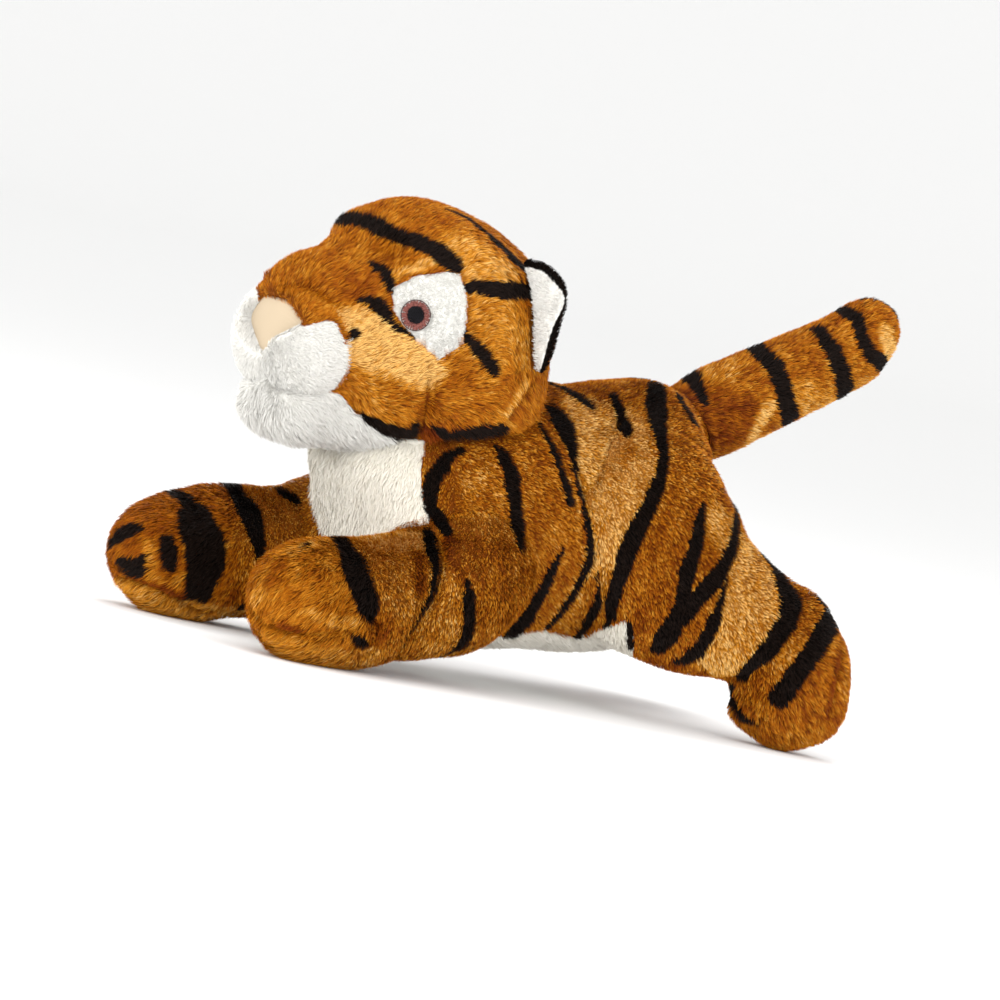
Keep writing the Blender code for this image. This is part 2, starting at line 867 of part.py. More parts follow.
def make_head(carrier):
    """The head's cover, face and filling. Returns its pieces and the form that cuts the ears."""
    head = head_form("head", ROUND_POINTS)
    form = head_form("form", LINING_POINTS)
    lining = grown(form, -PLUSH_WALL)
    cover = cut(copied(head), lining)
    pieces = make_eye(head, cover, lining)
    outline = [(HEAD_LENGTH * a, HEAD_HEIGHT * b) for a, b in CHIN_PANEL_SHARES]
    front, top = head_frame()
    region = prism("region", outline, head_place(0, 0, 0), front, top, HEAD_WIDTH, HEAD_WIDTH)
    chin_room = prism(
        "chin_room", widened(outline, GAP), head_place(0, 0, 0), front, top, HEAD_WIDTH, HEAD_WIDTH
    )
    chin = keep_inside(copied(cover), region)
    cut(cover, chin_room)
    filling = grown(form, -PLUSH_WALL - FILLING_GAP)
    turns = [HEAD_TURN * step / 3 for step in range(-3, 4)]
    nods = (-HEAD_NOD_DOWN, -HEAD_NOD_DOWN / 2, 0, HEAD_NOD_UP / 2, HEAD_NOD_UP)
    moves = paired_moves(neck_axis(), turns, ACROSS, nods)
    room = bending_room(carrier, neck_pivot(), neck_axis(), moves, BENDING_ROOM)
    inner_room = bending_room(carrier, neck_pivot(), neck_axis(), moves, NECK_ROOM)
    cut(cover, room)
    cut(chin, room)
    cut(filling, inner_room)
    pieces += copies_on_the_right(pieces)
    pieces.append(finish(cover, "head_cover", orange_plush))
    pieces.append(finish(chin, "chin_panel", white_plush))
    pieces.append(finish(filling, "head_filling", fibre))
    pieces += make_muzzle(head)
    head_room = grown(head, GAP, "head_room")
    drop(head, form, lining, region, chin_room, room, inner_room)
    return pieces, head_room


def make_neck_thread():
    """The ring of thread that ties the head to the body, hidden under the head."""
    axis = neck_axis()
    side = ACROSS.cross(axis)
    angle = math.radians(NECK_THREAD_ANGLE)
    distance = NECK_SEAT_RADIUS + GAP * 2 + SEAM_THREAD_RADIUS
    centre = neck_pivot() + axis * (distance * math.cos(angle))
    radius = distance * math.sin(angle)
    points, faces = [], []
    for step in range(ROUND_POINTS):
        around = math.tau * step / ROUND_POINTS
        outwards = ACROSS * math.cos(around) + side * math.sin(around)
        for turn in range(THREAD_POINTS):
            lay = math.tau * turn / THREAD_POINTS
            reach = radius + SEAM_THREAD_RADIUS * math.cos(lay)
            points.append(centre + outwards * reach + axis * (SEAM_THREAD_RADIUS * math.sin(lay)))
    count = len(points)
    for step in range(ROUND_POINTS):
        for turn in range(THREAD_POINTS):
            here = step * THREAD_POINTS + turn
            beside = step * THREAD_POINTS + (turn + 1) % THREAD_POINTS
            faces.append((
                here, beside, (beside + THREAD_POINTS) % count, (here + THREAD_POINTS) % count
            ))
    return finish(new_object("neck_stitching", points, faces), "neck_stitching", seam_thread)


def ear_frame():
    """The left ear's upright edge, its reach away from the head, and the way that its front faces."""
    x, out, rise = EAR_UPRIGHT_SHARES
    upright = Vector((x, -out, rise)).normalized()
    x, out, rise = EAR_REACH_SHARES
    reach = Vector((x, -out, rise))
    reach = (reach - upright * reach.dot(upright)).normalized()
    front = upright.cross(reach)
    front = front if front.x < 0 else -front
    return upright, reach, front


def ear_base():
    """The middle of the left ear's seam, on its fold."""
    return head_place(-HEAD_LENGTH * EAR_BACK_SHARE, HEAD_WIDTH * EAR_SIDE_SHARE, 0)


def make_ear(head_room):
    """The left ear: an outer back with a smaller pale lining set into its front."""
    upright, reach, front = ear_frame()
    axes = (upright, reach, front)
    step = EAR_LINING_STEP
    back = ball(
        "ear_left_back", ear_base(), axes, (EAR_HEIGHT, EAR_REACH * 2, EAR_THICKNESS),
        SMALL_BALL_POINTS, SMALL_BALL_RINGS,
    )
    lining_size = (EAR_HEIGHT - step * 4, EAR_REACH * 2 - step * 2, EAR_THICKNESS - step * 2)
    lining = ball(
        "ear_left_lining", ear_base() + front * step, axes, lining_size, SMALL_BALL_POINTS,
        SMALL_BALL_RINGS,
    )
    lining_room = grown(lining, GAP)
    moves = hinge_moves(upright, EAR_FOLD, 2)
    room = bending_room(head_room, ear_base(), upright, moves, EAR_ROOM, 2)
    cut(back, lining_room, room)
    cut(lining, room)
    drop(lining_room, room)
    finish(back, "ear_left_back", orange_plush)
    finish(lining, "ear_left_lining", white_plush)
    return [back, lining]


def make_leg(label, form, hip, sole_region, carrier, extra, lift=0.0):
    """One left leg: its cover, the sole let into the cover, and the filling. A lifted leg is the
    same leg, turned up behind its hip."""
    outer = form("outer", LIMB_POINTS)
    inner = form("inner", LIMB_LINING_POINTS)
    lining = grown(inner, -PLUSH_WALL)
    filling = grown(inner, -PLUSH_WALL - FILLING_GAP)
    region, room = sole_region("region", 0), sole_region("room", GAP)
    for piece, height in ((outer, 0), (lining, PLUSH_WALL), (filling, PLUSH_WALL + FILLING_GAP)):
        floor = floor_block()
        floor.data.transform(Matrix.Translation(UP * height))
        cut(piece, floor)
        drop(floor)
    spin = Matrix.Rotation(math.radians(-lift), 4, ACROSS)
    for piece in (outer, lining, filling, region, room):
        piece.data.transform(Matrix.Translation(hip) @ spin @ Matrix.Translation(-hip))
    moves = hinge_moves(ACROSS, LEG_SWING, 3)
    body_room = bending_room(carrier, hip, ACROSS, moves, extra)
    inner_room = bending_room(carrier, hip, ACROSS, moves, extra + FILLING_GAP)
    shell = cut(outer, lining, body_room)
    sole = keep_inside(copied(shell), region)
    cut(shell, room)
    cut(filling, inner_room)
    drop(inner, lining, region, room, body_room, inner_room)
    return [
        finish(shell, label + "_leg_left_cover", orange_plush),
        finish(sole, label + "_sole_left", white_plush),
        finish(filling, label + "_leg_left_filling", fibre),
    ]


def front_sole_region(name, extra):
    """The room of the left front sole: the paw's underside."""
    reach = BODY_LENGTH
    return box(
        name, Vector((-reach, -reach, -reach)),
        Vector((front_hip().x - FRONT_SOLE_START + extra, 0, FRONT_SOLE_TOP + extra)),
    )


def hind_sole_region(name, extra):
    """The room of the left hind sole: the end of the foot, square to the leg."""
    along, upper = hind_leg_frame()
    reach = HIND_LEG_HEIGHT
    outline = [(-reach, -reach), (reach, -reach), (reach, reach), (-reach, reach)]
    start = hind_leg_place(1, 1) - along * (HIND_SOLE_DEPTH + extra)
    return prism(name, outline, start, ACROSS, upper, 0, HIND_LEG_LENGTH)


def make_tail(carrier):
    """The tail's cover and filling, and the ball of filling in its root."""
    along, upper = tail_frame()
    cover = tail_form("tail_cover", LIMB_POINTS)
    form = tail_form("form", LIMB_LINING_POINTS)
    lining = grown(form, -PLUSH_WALL)
    filling = grown(form, -PLUSH_WALL - FILLING_GAP)
    moves = paired_moves(
        upper, (-TAIL_WAG, 0, TAIL_WAG), ACROSS, (-TAIL_LIFT, 0, TAIL_LIFT)
    )
    room = bending_room(carrier, tail_root(), along, moves, BENDING_ROOM)
    ball_room = round_ball(
        "ball_room", tail_root(), TAIL_BALL_RADIUS + GAP, LIMB_POINTS, SMALL_BALL_RINGS
    )
    cut(cover, lining, room)
    cut(filling, ball_room, room)
    root = round_ball("tail_root_filling", tail_root(), TAIL_BALL_RADIUS, LIMB_POINTS, SMALL_BALL_RINGS)
    drop(form, lining, room, ball_room)
    return (
        [finish(cover, "tail_cover", orange_plush), finish(filling, "tail_filling", fibre)],
        finish(root, "tail_root_filling", fibre),
    )


def settle_on_origin():
    """Moves everything so that the tiger's middle stands over the origin."""
    for thing in bpy.context.scene.objects:
        if thing.parent is None:
            thing.location.x -= MIDDLE_X
    bpy.context.view_layer.update()


def build():
    """Builds the tiger, then hangs each moving piece on an empty at its joint."""
    clear_scene()
    carrier = make_body()
    head_pieces, head_room = make_head(carrier)
    thread = make_neck_thread()
    ear = make_ear(head_room)
    front_left = make_leg(
        "front", front_leg_form, front_hip(), front_sole_region, carrier, FRONT_LEG_ROOM
    )
    hind = ("hind", hind_leg_form, hind_hip(), hind_sole_region, carrier, HIND_LEG_ROOM)
    hind_right = other_side_of(make_leg(*hind, HIND_LEG_RIGHT_LIFT))
    hind_left = make_leg(*hind)
    tail, root = make_tail(carrier)
    drop(carrier, head_room)
    neck_turn = joint_empty("neck_turn", neck_pivot())
    neck_nod = joint_empty("neck_nod", neck_pivot())
    carry(neck_turn, thread, neck_nod)
    carry(neck_nod, *head_pieces)
    tail_wag = joint_empty("tail_wag", tail_root())
    tail_lift = joint_empty("tail_lift", tail_root())
    carry(tail_wag, root, tail_lift)
    carry(tail_lift, *tail)
    for label, left, right, pivot, holder in (
        ("ear_fold", ear, copies_on_the_right(ear), ear_base(), neck_nod),
        ("front_swing", front_left, copies_on_the_right(front_left), front_hip(), None),
        ("hind_swing", hind_left, hind_right, hind_hip(), None),
    ):
        for side, group, sign in (("left", left, 1), ("right", right, -1)):
            place = Vector((pivot.x, pivot.y * sign, pivot.z))
            empty = joint_empty(label + "_" + side, place)
            carry(empty, *group)
            if holder is not None:
                carry(holder, empty)
    settle_on_origin()


build()
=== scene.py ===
"""The looks of a plush tiger: sewn skins with a dense pile of single tapered hairs, embroidered eyes
and a ribbed velour nose, on a pale floor in soft light. All sizes are in metres.

The tiger faces -X and its left side is on -Y. Every soft form is a skin round a straight axis, with
a centre, a half width and two half heights that vary along it. Hairs are rooted evenly over each
skin, combed along a field of directions, drawn together into small tufts, and dyed by the stripes
and panels that their roots lie in.
"""

import math

import bpy
import numpy as np
from mathutils import Matrix, Vector
from mathutils.bvhtree import BVHTree


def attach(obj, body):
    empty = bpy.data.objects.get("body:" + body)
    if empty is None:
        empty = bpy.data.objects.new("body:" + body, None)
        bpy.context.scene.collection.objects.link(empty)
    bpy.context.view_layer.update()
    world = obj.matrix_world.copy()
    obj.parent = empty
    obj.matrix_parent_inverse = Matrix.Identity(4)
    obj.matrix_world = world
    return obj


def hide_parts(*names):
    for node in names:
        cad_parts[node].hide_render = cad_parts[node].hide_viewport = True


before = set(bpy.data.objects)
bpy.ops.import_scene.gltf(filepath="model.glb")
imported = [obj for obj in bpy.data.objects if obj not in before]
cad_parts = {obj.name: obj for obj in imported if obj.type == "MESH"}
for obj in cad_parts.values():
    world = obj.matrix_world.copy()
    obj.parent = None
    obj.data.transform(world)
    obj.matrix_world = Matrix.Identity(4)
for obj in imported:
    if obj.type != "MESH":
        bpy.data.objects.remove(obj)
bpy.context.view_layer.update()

# ------------------------------------------------------------------ sizes

MM = 0.001
MIDDLE_X = 0.0193
SKIN_DEPTH = 2.0 * MM

BODY_LENGTH, BODY_HEIGHT, BODY_WIDTH = 0.193, 0.124, 0.116
BODY_FRONT, BODY_MIDDLE = -0.085, 0.078
NECK = np.array([-0.040, 0.0, 0.080])
NECK_SEAT_RADIUS = 0.0585
NECK_AXIS = np.array([-0.5, 0.0, 0.8660254])

HEAD_LENGTH, HEAD_HEIGHT, HEAD_WIDTH = 0.139, 0.102, 0.106
HEAD_CENTRE = np.array([-0.058, 0.0, 0.160])
HEAD_BACK, HEAD_DIP, HEAD_FULLNESS = -0.052, math.radians(17.7), 2.8

FRONT_LEG_LENGTH, FRONT_LEG_HEIGHT, FRONT_LEG_WIDTH = 0.148, 0.069, 0.066
FRONT_LEG_BACK, FRONT_LEG_OUT, FRONT_HIP_Y = -0.010, 0.018, 0.040

HIND_LEG_LENGTH, HIND_LEG_HEIGHT, HIND_LEG_WIDTH = 0.165, 0.103, 0.066
HIND_LEG_OUT, HIND_LEG_DIP, HIND_LEG_START = 0.032, math.radians(32.9), -0.051
HIND_HIP = np.array([0.059, -0.036, 0.080])
RIGHT_LIFT = math.radians(22.0)

TAIL_LENGTH, TAIL_THICKNESS = 0.137, 0.040
TAIL_ROOT = np.array([0.0845, 0.0, 0.128])
TAIL_START, TAIL_RISE = -0.008, math.radians(31.5)

EAR_BASE = np.array([-0.033, -0.041, 0.168])
EAR_HEIGHT, EAR_REACH, EAR_THICKNESS = 0.054, 0.020, 0.011

MUZZLE = (0.0765, 0.012, -0.004)
MUZZLE_SIZE = (0.040, 0.042, 0.052)
NOSE = (0.0862, 0.0, 0.0062)
# The nose's outline in its own plane, sideways and up, in millimetres, and how fast it recedes
NOSE_OUTLINE = (
    (0, -13), (3.5, -12.3), (8, -9.5), (14, -5.8), (20.5, -2), (21.5, 1.5), (16, 6.5), (9, 11), (0, 11.8),
    (-11, 11.6), (-18.5, 6.8), (-22.3, 4.2), (-20.2, 2.2), (-15, -1), (-9.5, -5.6), (-3.5, -12),
)
NOSE_BEND = 0.0083
EYE = (0.037, 0.042, 0.009)
EYE_AIM = (0.42, 0.80, 0.42)
EYE_PATCH_HEIGHT = 0.038
IRIS_RADIUS, PUPIL_RADIUS = 0.0065, 0.0038

X_AXIS = np.array([1.0, 0.0, 0.0])
Y_AXIS = np.array([0.0, 1.0, 0.0])
Z_AXIS = np.array([0.0, 0.0, 1.0])

# Rows along the body: place, rise of the middle, half height and half width, as shares
BODY_SHARES = (
    (0.012, 0.020, 0.24, 0.30),
    (0.035, 0.030, 0.47, 0.52),
    (0.087, 0.016, 0.71, 0.74),
    (0.173, 0.008, 0.88, 0.91),
    (0.293, 0.000, 0.98, 0.98),
    (0.440, 0.000, 1.00, 0.98),
    (0.560, 0.016, 0.96, 0.92),
    (0.690, 0.048, 0.98, 0.99),
    (0.810, 0.080, 0.97, 1.00),
    (0.900, 0.080, 0.80, 0.86),
    (0.960, 0.072, 0.52, 0.60),
    (0.988, 0.068, 0.28, 0.34),
)

# Rows along the head: place, top, bottom and half width, as shares
HEAD_SHARES = (
    (0.029, 0.31, 0.51, 0.36),
    (0.086, 0.54, 0.98, 0.64),
    (0.173, 0.75, 1.37, 0.83),
    (0.288, 0.91, 1.61, 0.97),
    (0.410, 0.99, 1.69, 1.00),
    (0.518, 1.01, 1.57, 0.96),
    (0.604, 0.96, 1.39, 0.90),
    (0.683, 0.85, 1.22, 0.79),
    (0.770, 0.73, 1.08, 0.68),
    (0.849, 0.65, 0.97, 0.53),
    (0.914, 0.53, 0.86, 0.40),
    (0.957, 0.39, 0.75, 0.30),
    (0.987, 0.16, 0.43, 0.15),
)

# Rows along a front leg: place, way out, middle's height, half height and half width, as shares
FRONT_LEG_SHARES = (
    (0.025, 0.00, 0.70, 0.48, 0.48),
    (0.090, 0.00, 0.70, 0.80, 0.80),
    (0.180, 0.00, 0.69, 0.98, 1.00),
    (0.270, 0.11, 0.66, 0.99, 1.00),
    (0.360, 0.28, 0.58, 0.93, 0.91),
    (0.440, 0.44, 0.52, 0.87, 0.83),
    (0.530, 0.67, 0.465, 0.88, 0.82),
    (0.630, 0.83, 0.42, 0.87, 0.83),
    (0.750, 0.94, 0.395, 0.83, 0.83),
    (0.850, 1.00, 0.375, 0.77, 0.79),
    (0.930, 1.00, 0.37, 0.59, 0.61),
    (0.975, 1.00, 0.37, 0.34, 0.36),
)

# Rows along a hind leg: place, way out, top, bottom and half width, as shares
HIND_LEG_SHARES = (
    (0.030, 0.00, 0.47, 0.47, 0.48),
    (0.103, 0.00, 0.68, 0.74, 0.76),
    (0.200, 0.00, 0.82, 0.93, 0.94),
    (0.309, 0.00, 0.82, 0.99, 1.00),
    (0.406, 0.12, 0.70, 0.95, 1.00),
    (0.503, 0.30, 0.57, 0.82, 0.94),
    (0.600, 0.52, 0.55, 0.64, 0.86),
    (0.673, 0.70, 0.57, 0.48, 0.82),
    (0.727, 0.82, 0.62, 0.45, 0.82),
    (0.788, 0.94, 0.60, 0.64, 0.82),
    (0.855, 1.00, 0.56, 0.72, 0.79),
    (0.915, 1.00, 0.46, 0.66, 0.67),
    (0.964, 1.00, 0.27, 0.49, 0.44),
    (0.991, 1.00, 0.12, 0.25, 0.21),
)

# Rows along the tail: place and half thickness, as shares
TAIL_SHARES = (
    (0.020, 0.52),
    (0.080, 0.86),
    (0.200, 1.00),
    (0.380, 0.99),
    (0.560, 0.96),
    (0.740, 0.92),
    (0.880, 0.86),
    (0.955, 0.63),
    (0.988, 0.34),
)

# Rows up an ear: place, reach and thickness, as shares
EAR_SHARES = (
    (-1.0, 0.0, 0.0), (-0.93, 0.16, 0.35), (-0.75, 0.36, 0.65), (-0.45, 0.60, 0.90), (-0.15, 0.83, 1.0),
    (0.15, 1.06, 1.0), (0.42, 1.10, 0.95), (0.68, 0.90, 0.80), (0.88, 0.57, 0.55), (1.0, 0.0, 0.0),
)

# The white patch around an eye, from the pupil: backwards and up, as shares of its height
EYE_PATCH_SHARES = (
    (-0.31, 0.27), (-0.11, 0.44), (0.24, 0.60), (0.39, 0.62), (0.52, 0.41), (0.60, 0.04),
    (0.57, -0.18), (0.38, -0.38), (0.25, -0.33), (-0.06, -0.16), (-0.25, 0.00), (-0.30, 0.14),
)

# ------------------------------------------------------------------ camera

CAMERA_TURN = math.radians(-35.0)
CAMERA_RISE = math.radians(2.8)
CAMERA_ROLL = math.radians(13.1)
CAMERA_AIM = np.array([-MIDDLE_X, 0.0, 0.0827])
CAMERA_DISTANCE = 4.0
FOCAL_PIXELS = 8888.9
PICTURE = 1000.0


def camera_frame():
    """The camera's right, up and backward ways: turned about +Z, raised, then rolled."""
    turn, rise, roll = CAMERA_TURN, CAMERA_RISE, CAMERA_ROLL
    back = np.array([
        math.sin(turn) * math.cos(rise), -math.cos(turn) * math.cos(rise), math.sin(rise),
    ])
    level = np.array([math.cos(turn), math.sin(turn), 0.0])
    upward = np.cross(back, level)
    right = math.cos(roll) * level + math.sin(roll) * upward
    up = math.cos(roll) * upward - math.sin(roll) * level
    return right, up, back


CAMERA_RIGHT, CAMERA_UP, CAMERA_BACK = camera_frame()
CAMERA_PLACE = CAMERA_AIM + CAMERA_BACK * CAMERA_DISTANCE


def seen(points):
    """The photograph's pixels in which points show, x to the right and y down."""
    local = points - CAMERA_PLACE
    away = -(local @ CAMERA_BACK)
    x = PICTURE / 2 + FOCAL_PIXELS * (local @ CAMERA_RIGHT) / away
    y = PICTURE / 2 - FOCAL_PIXELS * (local @ CAMERA_UP) / away
    return np.column_stack([x, y])


def sight(x, y):
    """The way from the camera through a pixel of the photograph."""
    aside, rise = x - PICTURE / 2, PICTURE / 2 - y
    way = -CAMERA_BACK * FOCAL_PIXELS + CAMERA_RIGHT * aside + CAMERA_UP * rise
    return way / np.linalg.norm(way)


# ------------------------------------------------------------------ small mathematics


def unit(vectors):
    """Vectors scaled to length one."""
    return vectors / np.maximum(np.linalg.norm(vectors, axis=-1, keepdims=True), 1e-12)


def curve_through(knots, values, at):
    """Values on a smooth curve through given ones: between two knots a cubic that meets both with
    the slopes of the lines between their neighbours."""
    slopes = np.gradient(values, knots, axis=0)
    low = np.clip(np.searchsorted(knots, at, side="right") - 1, 0, len(knots) - 2)
    gap = (knots[low + 1] - knots[low])[:, None]
    s = (at - knots[low])[:, None] / gap
    return (
        values[low] * (2 * s**3 - 3 * s**2 + 1)
        + slopes[low] * gap * (s**3 - 2 * s**2 + s)
        + values[low + 1] * (3 * s**2 - 2 * s**3)
        + slopes[low + 1] * gap * (s**3 - s**2)
    )


def waves(points, size, seed, layers=7):
    """A smooth noise between about -1 and 1: the mean of sine waves that run in random directions,
    each about `size` long."""
    rng = np.random.default_rng(seed)
    total = np.zeros(len(points))
    for _ in range(layers):
        way = unit(rng.normal(size=3)) * (math.tau / size * rng.uniform(0.7, 1.4))
        total += np.sin(points @ way + rng.uniform(0, math.tau))
    return total / layers * 1.8


def smooth_step(low, high, values):
    """0 below low, 1 above high and an even S between them."""
    s = np.clip((values - low) / (high - low), 0, 1)
    return s * s * (3 - 2 * s)


# ------------------------------------------------------------------ soft forms


class Form:
    """A soft form round a straight axis. Its rows hold a place along the axis, a shift across and a
    shift up, then the half width and the upper and lower half heights there. Its first and last
    rows are its tips."""

    def __init__(self, origin, along, across, up, rows, fullness=2.0):
        self.origin, self.along, self.across, self.up = origin, along, across, up
        self.rows = np.array(rows, float)
        self.fullness = fullness
        steps = np.linalg.norm(np.diff(self.rows[:, [0, 1, 2, 3, 4]], axis=0), axis=1)
        self.knots = np.concatenate([[0], np.cumsum(np.maximum(steps, 1e-5))])
        fine = curve_through(self.knots, self.rows, np.linspace(0, self.knots[-1], 600))
        self.table = fine[np.argsort(fine[:, 0])]

    def skin(self, rings, points, depth=SKIN_DEPTH):
        """A grid of places on the form's skin, drawn in by `depth`, and the outward way at each.
        Each ring is an oval whose lower half may be squarer."""
        at = np.linspace(0, self.knots[-1], rings)
        row = curve_through(self.knots, self.rows, at)
        row[:, 3:] = np.maximum(row[:, 3:], 0)
        row[[0, -1], 3:] = 0
        angle = math.tau * np.arange(points) / points
        aside, rise = np.cos(angle), np.sin(angle)
        low = rise < 0
        power = 2 / self.fullness
        aside = np.where(low, np.sign(aside) * np.abs(aside) ** power, aside)
        rise = np.where(low, -(np.abs(rise) ** power), rise)
        heights = np.where(low, row[:, 5:6], row[:, 4:5]) * rise
        grid = (
            self.origin
            + self.along * row[:, 0][:, None, None]
            + self.across * (row[:, 1][:, None] + row[:, 3:4] * aside)[:, :, None]
            + self.up * (row[:, 2][:, None] + heights)[:, :, None]
        )
        outward = normals_of(grid, self.along)
        return grid - outward * depth, outward

    def away(self, points):
        """About how far points lie from the form, below zero inside it: along the line to its axis
        in the cross section, joined with the way past its tips."""
        local = points - self.origin
        place = local @ self.along
        row = [np.interp(place, self.table[:, 0], self.table[:, k]) for k in range(1, 6)]
        aside = local @ self.across - row[0]
        rise = local @ self.up - row[1]
        upper = rise >= 0
        power = np.where(upper, 2.0, self.fullness)
        height = np.maximum(np.where(upper, row[3], row[4]), 1e-5)
        share = (np.abs(aside) / np.maximum(row[2], 1e-5)) ** power + (np.abs(rise) / height) ** power
        share = np.maximum(share, 1e-6) ** (1 / power)
        reach = np.hypot(aside, rise) * (1 - 1 / share)
        past = np.maximum(self.rows[0, 0] - place, place - self.rows[-1, 0])
        return np.where(past > 0, np.hypot(np.maximum(reach, 0), past), reach)

    def holds(self, points, margin=0.0):
        """Whether points lie inside the form, grown by a margin."""
        local = points - self.origin
        place = local @ self.along
        row = [np.interp(place, self.table[:, 0], self.table[:, k]) for k in range(1, 6)]
        aside = np.abs(local @ self.across - row[0]) / np.maximum(row[2] + margin, 1e-6)
        rise = local @ self.up - row[1]
        upper = rise >= 0
        height = np.abs(rise) / np.maximum(np.where(upper, row[3], row[4]) + margin, 1e-6)
        power = np.where(upper, 2.0, self.fullness)
        within = (place > self.rows[0, 0] - margin) & (place < self.rows[-1, 0] + margin)
        return within & (aside**power + height**power < 1)


def normals_of(grid, along):
    """The outward way at each place of a grid of rings, from the cross product of its two slopes."""
    down = np.gradient(grid, axis=0)
    around = np.roll(grid, -1, axis=1) - np.roll(grid, 1, axis=1)
    outward = unit(np.cross(around, down))
    centre = grid.mean(axis=1, keepdims=True)
    if ((grid - centre) * outward).sum() < 0:
        outward = -outward
    outward[0], outward[-1] = -along, along
    return outward


def body_form():
    """The body, along +X."""
    rows = [(BODY_FRONT, 0, BODY_MIDDLE + BODY_HEIGHT * BODY_SHARES[0][1], 0, 0, 0)]
    for place, rise, height, width in BODY_SHARES:
        half = BODY_HEIGHT / 2 * height
        middle = BODY_MIDDLE + BODY_HEIGHT * rise
        rows.append((BODY_FRONT + BODY_LENGTH * place, 0, middle, BODY_WIDTH / 2 * width, half, half))
    rows.append((
        BODY_FRONT + BODY_LENGTH, 0, BODY_MIDDLE + BODY_HEIGHT * BODY_SHARES[-1][1], 0, 0, 0,
    ))
    return Form(-MIDDLE_X * X_AXIS, X_AXIS, Y_AXIS, Z_AXIS, rows)


def head_ways():
    """Which way the head's front and its top face."""
    return (
        np.array([-math.cos(HEAD_DIP), 0, -math.sin(HEAD_DIP)]),
        np.array([-math.sin(HEAD_DIP), 0, math.cos(HEAD_DIP)]),
    )


HEAD_FRONT, HEAD_TOP = head_ways()


def head_place(forward, sideways, rise):
    """A place in the head, from its centre. The left side is on -Y."""
    centre = HEAD_CENTRE - MIDDLE_X * X_AXIS
    return centre + HEAD_FRONT * forward - Y_AXIS * sideways + HEAD_TOP * rise


def head_form():
    """The head, from its back to its snout."""
    rows = [(HEAD_BACK, 0, 0, 0, 0, 0)]
    for place, top, bottom, width in HEAD_SHARES:
        half = HEAD_HEIGHT / 2
        rows.append((
            HEAD_BACK + HEAD_LENGTH * place, 0, 0, HEAD_WIDTH / 2 * width, half * top, half * bottom,
        ))
    rows.append((HEAD_BACK + HEAD_LENGTH, 0, 0, 0, 0, 0))
    return Form(head_place(0, 0, 0), HEAD_FRONT, Y_AXIS, HEAD_TOP, rows, HEAD_FULLNESS)


def front_leg_form(side):
    """A front leg, along -X. Side is -1 for the left one and 1 for the right one."""
    def row(place, out, middle, height, width):
        half = FRONT_LEG_HEIGHT / 2 * height
        return (
            FRONT_LEG_LENGTH * place, side * (FRONT_HIP_Y + FRONT_LEG_OUT * out),
            FRONT_LEG_HEIGHT * middle, FRONT_LEG_WIDTH / 2 * width, half, half,
        )

    rows = [row(0, 0, FRONT_LEG_SHARES[0][2], 0, 0)]
    rows += [row(*shares) for shares in FRONT_LEG_SHARES]
    rows.append(row(1, 1, FRONT_LEG_SHARES[-1][2], 0, 0))
    return Form((FRONT_LEG_BACK - MIDDLE_X) * X_AXIS, -X_AXIS, Y_AXIS, Z_AXIS, rows)


def hind_leg_form(side, lift=0.0):
    """A hind leg, along its own dip, turned up about its hip by `lift`."""
    dip = HIND_LEG_DIP - lift
    along = np.array([math.cos(dip), 0, -math.sin(dip)])
    upper = np.array([math.sin(dip), 0, math.cos(dip)])
    half = HIND_LEG_HEIGHT / 2
    rows = [(HIND_LEG_START, 0, 0, 0, 0, 0)]
    for place, out, top, bottom, width in HIND_LEG_SHARES:
        rows.append((
            HIND_LEG_START + HIND_LEG_LENGTH * place, side * HIND_LEG_OUT * out, 0,
            HIND_LEG_WIDTH / 2 * width, half * top, half * bottom,
        ))
    rows.append((HIND_LEG_START + HIND_LEG_LENGTH, side * HIND_LEG_OUT, 0, 0, 0, 0))
    hip = HIND_HIP * np.array([1, -side, 1]) - MIDDLE_X * X_AXIS
    return Form(hip, along, Y_AXIS, upper, rows)


def tail_form():
    """The tail, a straight roll that rises backwards."""
    along = np.array([math.cos(TAIL_RISE), 0, math.sin(TAIL_RISE)])
    upper = np.array([-math.sin(TAIL_RISE), 0, math.cos(TAIL_RISE)])
    rows = [(0, 0, 0, 0, 0, 0)]
    for place, size in TAIL_SHARES:
        half = TAIL_THICKNESS / 2 * size
        rows.append((TAIL_LENGTH * place, 0, 0, half, half, half))
    rows.append((TAIL_LENGTH, 0, 0, 0, 0, 0))
    return Form(TAIL_ROOT - MIDDLE_X * X_AXIS + along * TAIL_START, along, Y_AXIS, upper, rows)


def ball_form(centre, along, across, up, sizes, rows=14):
    """A ball with a size of its own along each of three axes: half sizes times the sine of an
    angle that runs from one tip to the other."""
    angles = np.linspace(0, math.pi, rows)
    length, width, height = (size / 2 for size in sizes)
    made = [
        (-length * math.cos(a), 0, 0, width * math.sin(a), height * math.sin(a), height * math.sin(a))
        for a in angles
    ]
    made[0], made[-1] = (-length, 0, 0, 0, 0, 0), (length, 0, 0, 0, 0, 0)
    return Form(centre, along, across, up, made)


def ear_ways(side):
    """An ear's upright edge, its reach away from the head and the way that its front faces."""
    upright = unit(np.array([-0.283, -0.195 * side, 0.938]))
    reach = np.array([0.25, 0.97 * side, 0.0])
    reach = unit(reach - upright * (reach @ upright))
    front = np.cross(upright, reach)
    return upright, reach, front if front[0] < 0 else -front


def ear_form(side):
    """An ear: a flat disc that stands on the head."""
    upright, reach, front = ear_ways(side)
    base = EAR_BASE * np.array([1, -side, 1]) - MIDDLE_X * X_AXIS
    rows = [
        (EAR_HEIGHT / 2 * place, 0, 0, EAR_REACH * wide, EAR_THICKNESS / 2 * thick, EAR_THICKNESS / 2 * thick)
        for place, wide, thick in EAR_SHARES
    ]
    return Form(base, upright, reach, front, rows)


